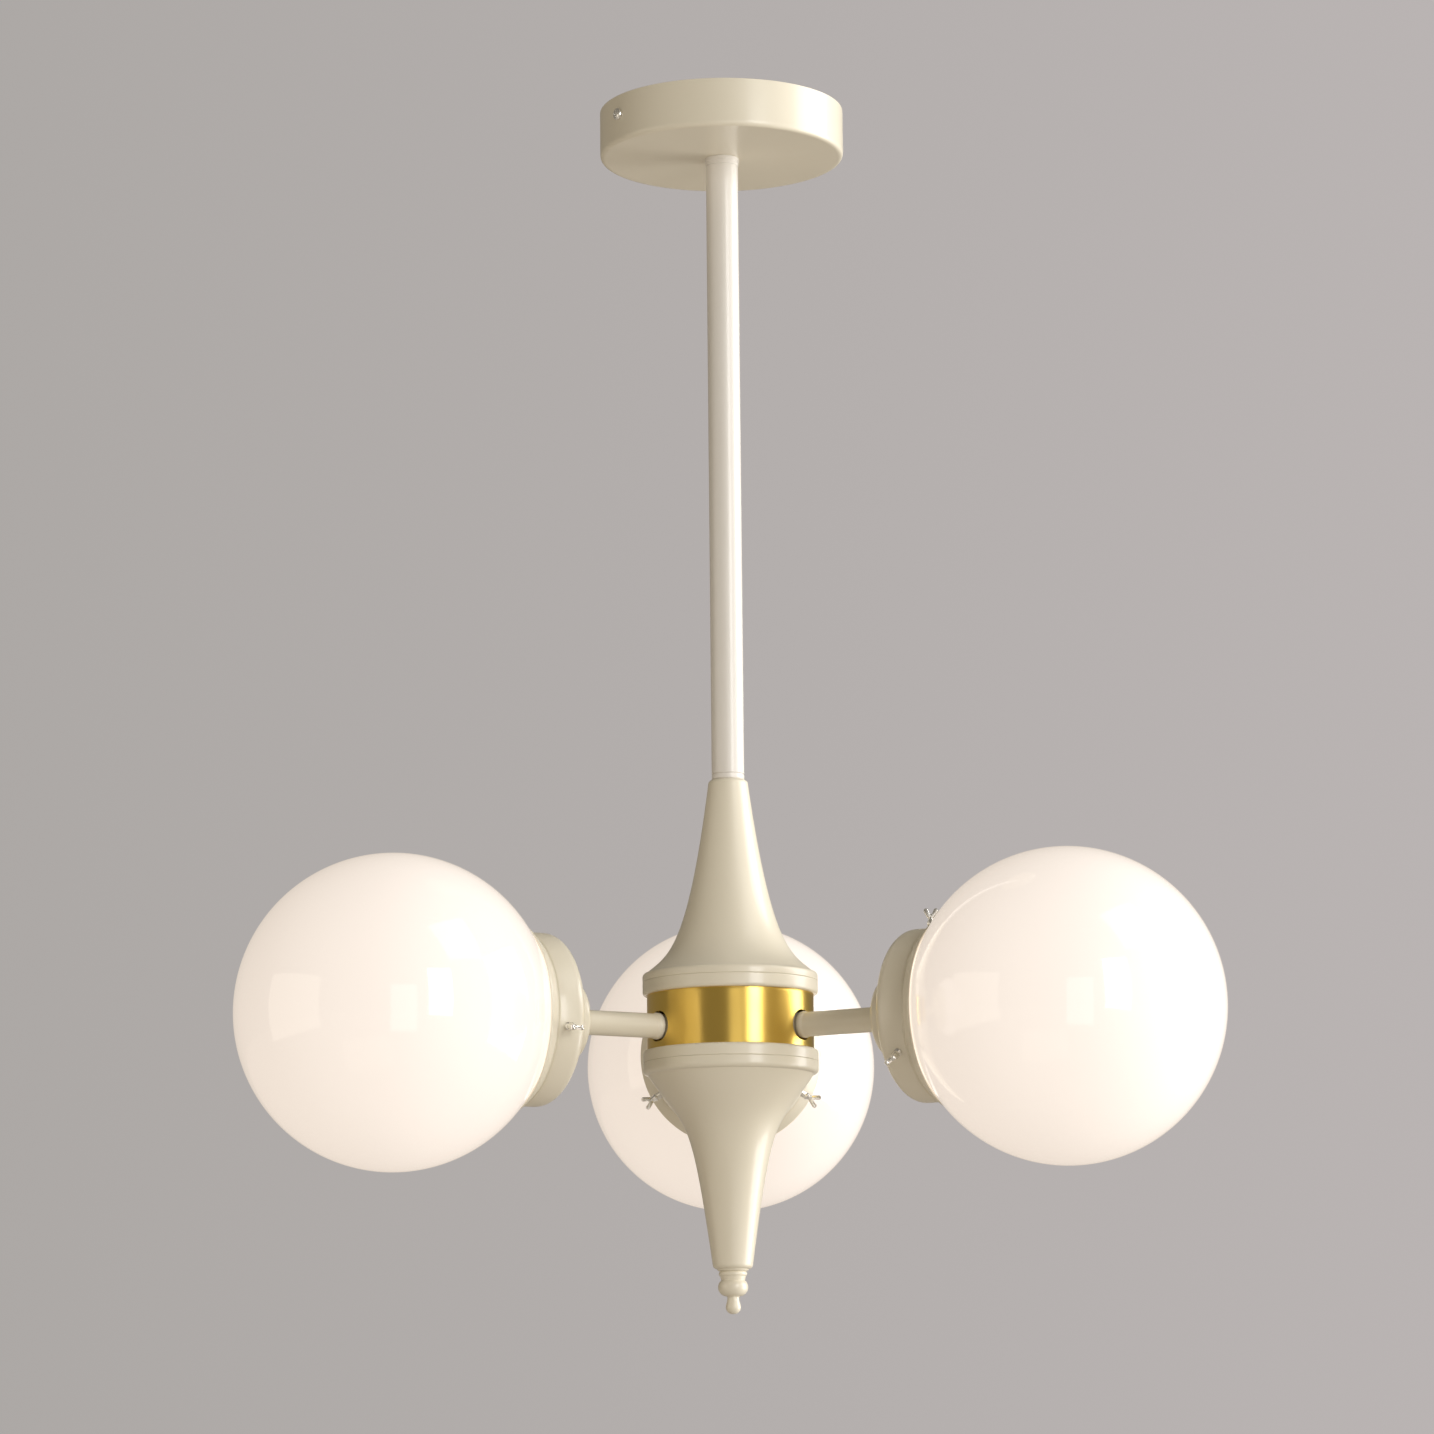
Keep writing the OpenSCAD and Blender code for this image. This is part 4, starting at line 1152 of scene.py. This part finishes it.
frosted_dome = finish_material(
    "frosted_dome", tone_a=(0.86, 0.85, 0.82), tone_b=(0.82, 0.81, 0.78), edge_tone=(0.88, 0.87, 0.85),
    gloss_low=0.35, gloss_high=0.45, skin_scale=1200.0, skin_depth=0.05,
)

lamp_back, lamp_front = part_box("lamp_3")[0][1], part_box("lamp_3")[1][1]
lamp_radius = 22.5 * mm
cap_radius = 13.2 * mm
cap_length = 24 * mm
cap_pitch = 3.6 * mm
cap_end = lamp_back + cap_length
lamp_middle = lamp_front - lamp_radius
dome_join = radians(142)
join_point = Vector((lamp_radius * sin(dome_join), lamp_middle + lamp_radius * cos(dome_join)))
join_line = Vector((sin(radians(52)), cos(radians(52)))) * 2 * mm
collar_point = Vector((cap_radius + 0.4 * mm, cap_end + mm))
dome_steps = 40
dome_angles = [dome_join * (1 - s / dome_steps) for s in range(1, dome_steps)]
dome_template = along_x(turned("dome_template", [
    (0, cap_end + 0.1 * mm), (cap_radius + 0.2 * mm, cap_end + 0.1 * mm),
    *flare(collar_point, collar_point + Vector((0, 2 * mm)), join_point - join_line, join_point, steps=10),
    *[(lamp_radius * sin(a), lamp_middle + lamp_radius * cos(a)) for a in dome_angles], (0, lamp_front),
], 96, sharp=50))
cap_template = along_x(turned("cap_template", [
    (0, lamp_back), (5 * mm, lamp_back), (6 * mm, lamp_back + 2 * mm),
    (cap_radius - 1.5 * mm, lamp_back + 4 * mm),
    *thread_points(cap_radius, lamp_back + 4.5 * mm, cap_end - 3 * mm, cap_pitch),
    (cap_radius - 0.5 * mm, cap_end - 2 * mm), (cap_radius, cap_end), (0, cap_end),
], 72, sharp=60))
for arm in range(3):
    on_arm(f"lamp_dome_{arm + 1}", dome_template, arm, frosted_dome, f"lamp_{arm + 1}", "lamp_plastic",
           f"lamp_{arm + 1}")
    on_arm(f"lamp_cap_{arm + 1}", cap_template, arm, bright_nickel, f"lamp_{arm + 1}", "nickel",
           f"lamp_{arm + 1}")
bpy.data.objects.remove(dome_template)
bpy.data.objects.remove(cap_template)


# ---- Globes ----
# Blown opal glass with a polished skin, each with a short neck and a round bead at its end. The
# glass carries a warm painted glow, which lifts its shaded side in place of light from the lamps within.

opal_glass = finish_material(
    "opal_glass", tone_a=(0.52, 0.51, 0.50), tone_b=(0.55, 0.54, 0.53), edge_tone=(0.58, 0.57, 0.56),
    cloud_scale=9.0, gloss_low=0.05, gloss_high=0.1, skin_scale=60.0, skin_depth=0.02,
)
# The warm emission is a painted glow: it brightens each whole globe, its shaded side too, though no lamp is
# lit.
set_shader(opal_glass, coat_weight=0.3, coat_roughness=0.03, emission_color=(1, 0.87, 0.77, 1),
           emission_strength=0.64)

glass_wall = 3 * mm
neck_outside = 37.5 * mm
neck_blend = 117.3 * mm
neck_straight = 116.5 * mm
bead_radius = 1.6 * mm
bead_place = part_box("globe_3")[0][1] + bead_radius


def ball(radius, join_radius, steps):
    """Half outline of a sphere from its far pole to the angle where it meets the neck."""
    join = pi - asin(join_radius / radius)
    return [(radius * sin(join * s / steps), globe_place + radius * cos(join * s / steps))
            for s in range(steps + 1)]


outer_ball = ball(globe_radius, neck_outside + 0.6 * mm, 110)
inner_ball = ball(globe_radius - glass_wall, neck_outside - glass_wall, 80)
globe_template = along_x(turned("globe_template", [
    (0, outer_ball[0][1]), *outer_ball[1:], (neck_outside + 0.15 * mm, neck_blend),
    (neck_outside, neck_straight), *arc(neck_outside, bead_place, bead_radius, 90, -90, 12),
    (neck_outside - glass_wall / 2, bead_place - 1.3 * mm), (neck_outside - glass_wall, bead_place),
    *reversed(inner_ball[1:]), (0, inner_ball[0][1]),
], 192, sharp=70))
for arm in range(3):
    on_arm(f"opal_globe_{arm + 1}", globe_template, arm, opal_glass, f"globe_{arm + 1}", "opal_glass",
           f"globe_{arm + 1}")
bpy.data.objects.remove(globe_template)


# ---- Wiring ----
# A white sheathed lead runs from the terminal block down the stem to the connectors in the hub. A
# green and yellow lead joins the crossbar to the nipple's nut. A flat pan-headed screw holds it.

lead_sheath = finish_material(
    "lead_sheath", tone_a=(0.72, 0.71, 0.68), tone_b=(0.68, 0.67, 0.64), edge_tone=(0.75, 0.74, 0.72),
    gloss_low=0.4, gloss_high=0.5, skin_scale=800.0, skin_depth=0.1,
)
connector_moulding = finish_material(
    "connector_moulding", tone_a=(0.80, 0.34, 0.06), tone_b=(0.74, 0.30, 0.05), edge_tone=(0.85, 0.42, 0.12),
    gloss_low=0.25, gloss_high=0.35, skin_scale=800.0, skin_depth=0.08,
)
earth_sheath = finish_material(
    "earth_sheath", tone_a=(0.10, 0.42, 0.10), tone_b=(0.08, 0.36, 0.09), edge_tone=(0.2, 0.5, 0.2),
    gloss_low=0.35, gloss_high=0.45, skin_scale=800.0, skin_depth=0.08,
)


def build_side_stripe():
    """A colour that changes to a stripe's colour on one side of an upright plane through Z."""
    group, given, out = shader_group(
        "side_stripe", {"Ground": (1, 1, 1, 1), "Stripe": (1, 1, 1, 1), "Bearing": 0.0},
        {"Color": "NodeSocketColor"})
    turn = add_node(group, "ShaderNodeVectorRotate", settings={"rotation_type": "Z_AXIS"},
                    vector=add_node(group, "ShaderNodeTexCoord").outputs["Object"],
                    angle=given.outputs["Bearing"])
    parts = add_node(group, "ShaderNodeSeparateXYZ", turn.outputs[0])
    side = stretch(group, parts.outputs["Y"], 0.15 * mm, 0.25 * mm)
    give_inputs(group, out, color=colour_mix(group, side, given.outputs["Ground"], given.outputs["Stripe"]))
    return group


earth_tree = earth_sheath.node_tree
stripe = add_node(earth_tree, "ShaderNodeGroup", settings={"node_tree": build_side_stripe()},
                  ground=earth_tree.nodes["finish"].outputs["Color"], stripe=(0.80, 0.66, 0.06, 1),
                  bearing=-crossbar_bearing)
set_shader(earth_sheath, base_color=stripe.outputs["Color"])


def build_lead_sweep():
    """A round lead along a chain of edges, with rounded bends and closed ends."""
    tree, given, out = geometry_tree("lead_sweep", {
        "Radius": "NodeSocketFloat", "Bend": "NodeSocketFloat", "Finish": "NodeSocketMaterial"})
    give = given.outputs
    line = add_node(tree, "GeometryNodeMeshToCurve", mesh=give["Geometry"])
    bends = add_node(tree, "GeometryNodeFilletCurve", settings={"mode": "POLY"}, curve=line.outputs[0],
                     count=6, limit_radius=True, radius=give["Bend"])
    section = add_node(tree, "GeometryNodeCurvePrimitiveCircle", resolution=20, radius=give["Radius"])
    sweep = add_node(tree, "GeometryNodeCurveToMesh", curve=bends.outputs[0],
                     profile_curve=section.outputs[0], fill_caps=True)
    end_tree(tree, sweep.outputs[0], give["Finish"], out)
    return tree


lead_sweep = build_lead_sweep()
lead_bend = 3 * mm


def swept_lead(name, points, radius, finish):
    """A lead through the given points, as a plain mesh."""
    line = bpy.data.meshes.new("line")
    line.from_pydata(points, [(k, k + 1) for k in range(len(points) - 1)], [])
    made = grown(name, lead_sweep, linked("line", line), radius=radius, bend=lead_bend, finish=finish)
    smoothed(made.data, 50)
    return made


def upright_line(bearing, points):
    """Points of (distance out in mm, height) in an upright plane through the column."""
    return [(out * mm * cos(bearing), out * mm * sin(bearing), z) for out, z in points]


supply_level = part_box("terminal_block")[0][2] + 6 * mm
pipe_end = arm_level + 9 * mm
supply_radius = 2.2 * mm
earth_radius = 1.1 * mm
supply_lead = swept_lead("sheathed_lead", [
    *upright_line(crossbar_bearing + pi / 2, [
        (23.4, supply_level), (20.5, supply_level), (17.5, supply_level + 2.4 * mm),
        (13, supply_level + 3.5 * mm), (6, supply_level + 5.6 * mm), (2.4, supply_level + 5.2 * mm),
        (0.4, supply_level + 2.4 * mm), (0, supply_level - mm), (0, tube_low[2]), (0, pipe_end),
    ]),
    *upright_line(arm_bearings[0], [
        (0.3, arm_level + 5 * mm), (1.8, arm_level + 2 * mm), (4.4, arm_level + 0.3 * mm),
        (6.2, arm_level), (7.9, arm_level),
    ]),
], supply_radius, lead_sheath)
keep_piece(supply_lead, "fixed_frame", lead_sheath, "lead_sheath", "supply_lead")

earth_lead = swept_lead("striped_lead", upright_line(crossbar_bearing, [
    (-22, -4.7 * mm), (-18, -4.7 * mm), (-15, -6.2 * mm), (-12.5, -13.8 * mm), (-10.7, -17.8 * mm),
    (-10.5, -20.7 * mm),
]), earth_radius, earth_sheath)
keep_piece(earth_lead, "fixed_frame", earth_sheath, "earth_sheath", "earth_lead")

earth_screw = pan_screw("crossbar_earth_screw", crossbar_thickness)
earth_screw.data.transform(
    Matrix.Rotation(crossbar_bearing, 4, "Z")
    @ Matrix.Translation((earth_hole_place, 0, -crossbar_thickness))
    @ Matrix.Rotation(pi / 2, 4, "Y")
)
keep_piece(earth_screw, "fixed_frame", bright_nickel, "nickel", "earth_screw")

finish_node("terminal_block", white_moulding)
finish_node("wire_connectors", connector_moulding)
for node in ("arm_lead_1", "arm_lead_2", "arm_lead_3"):
    finish_node(node, lead_sheath)
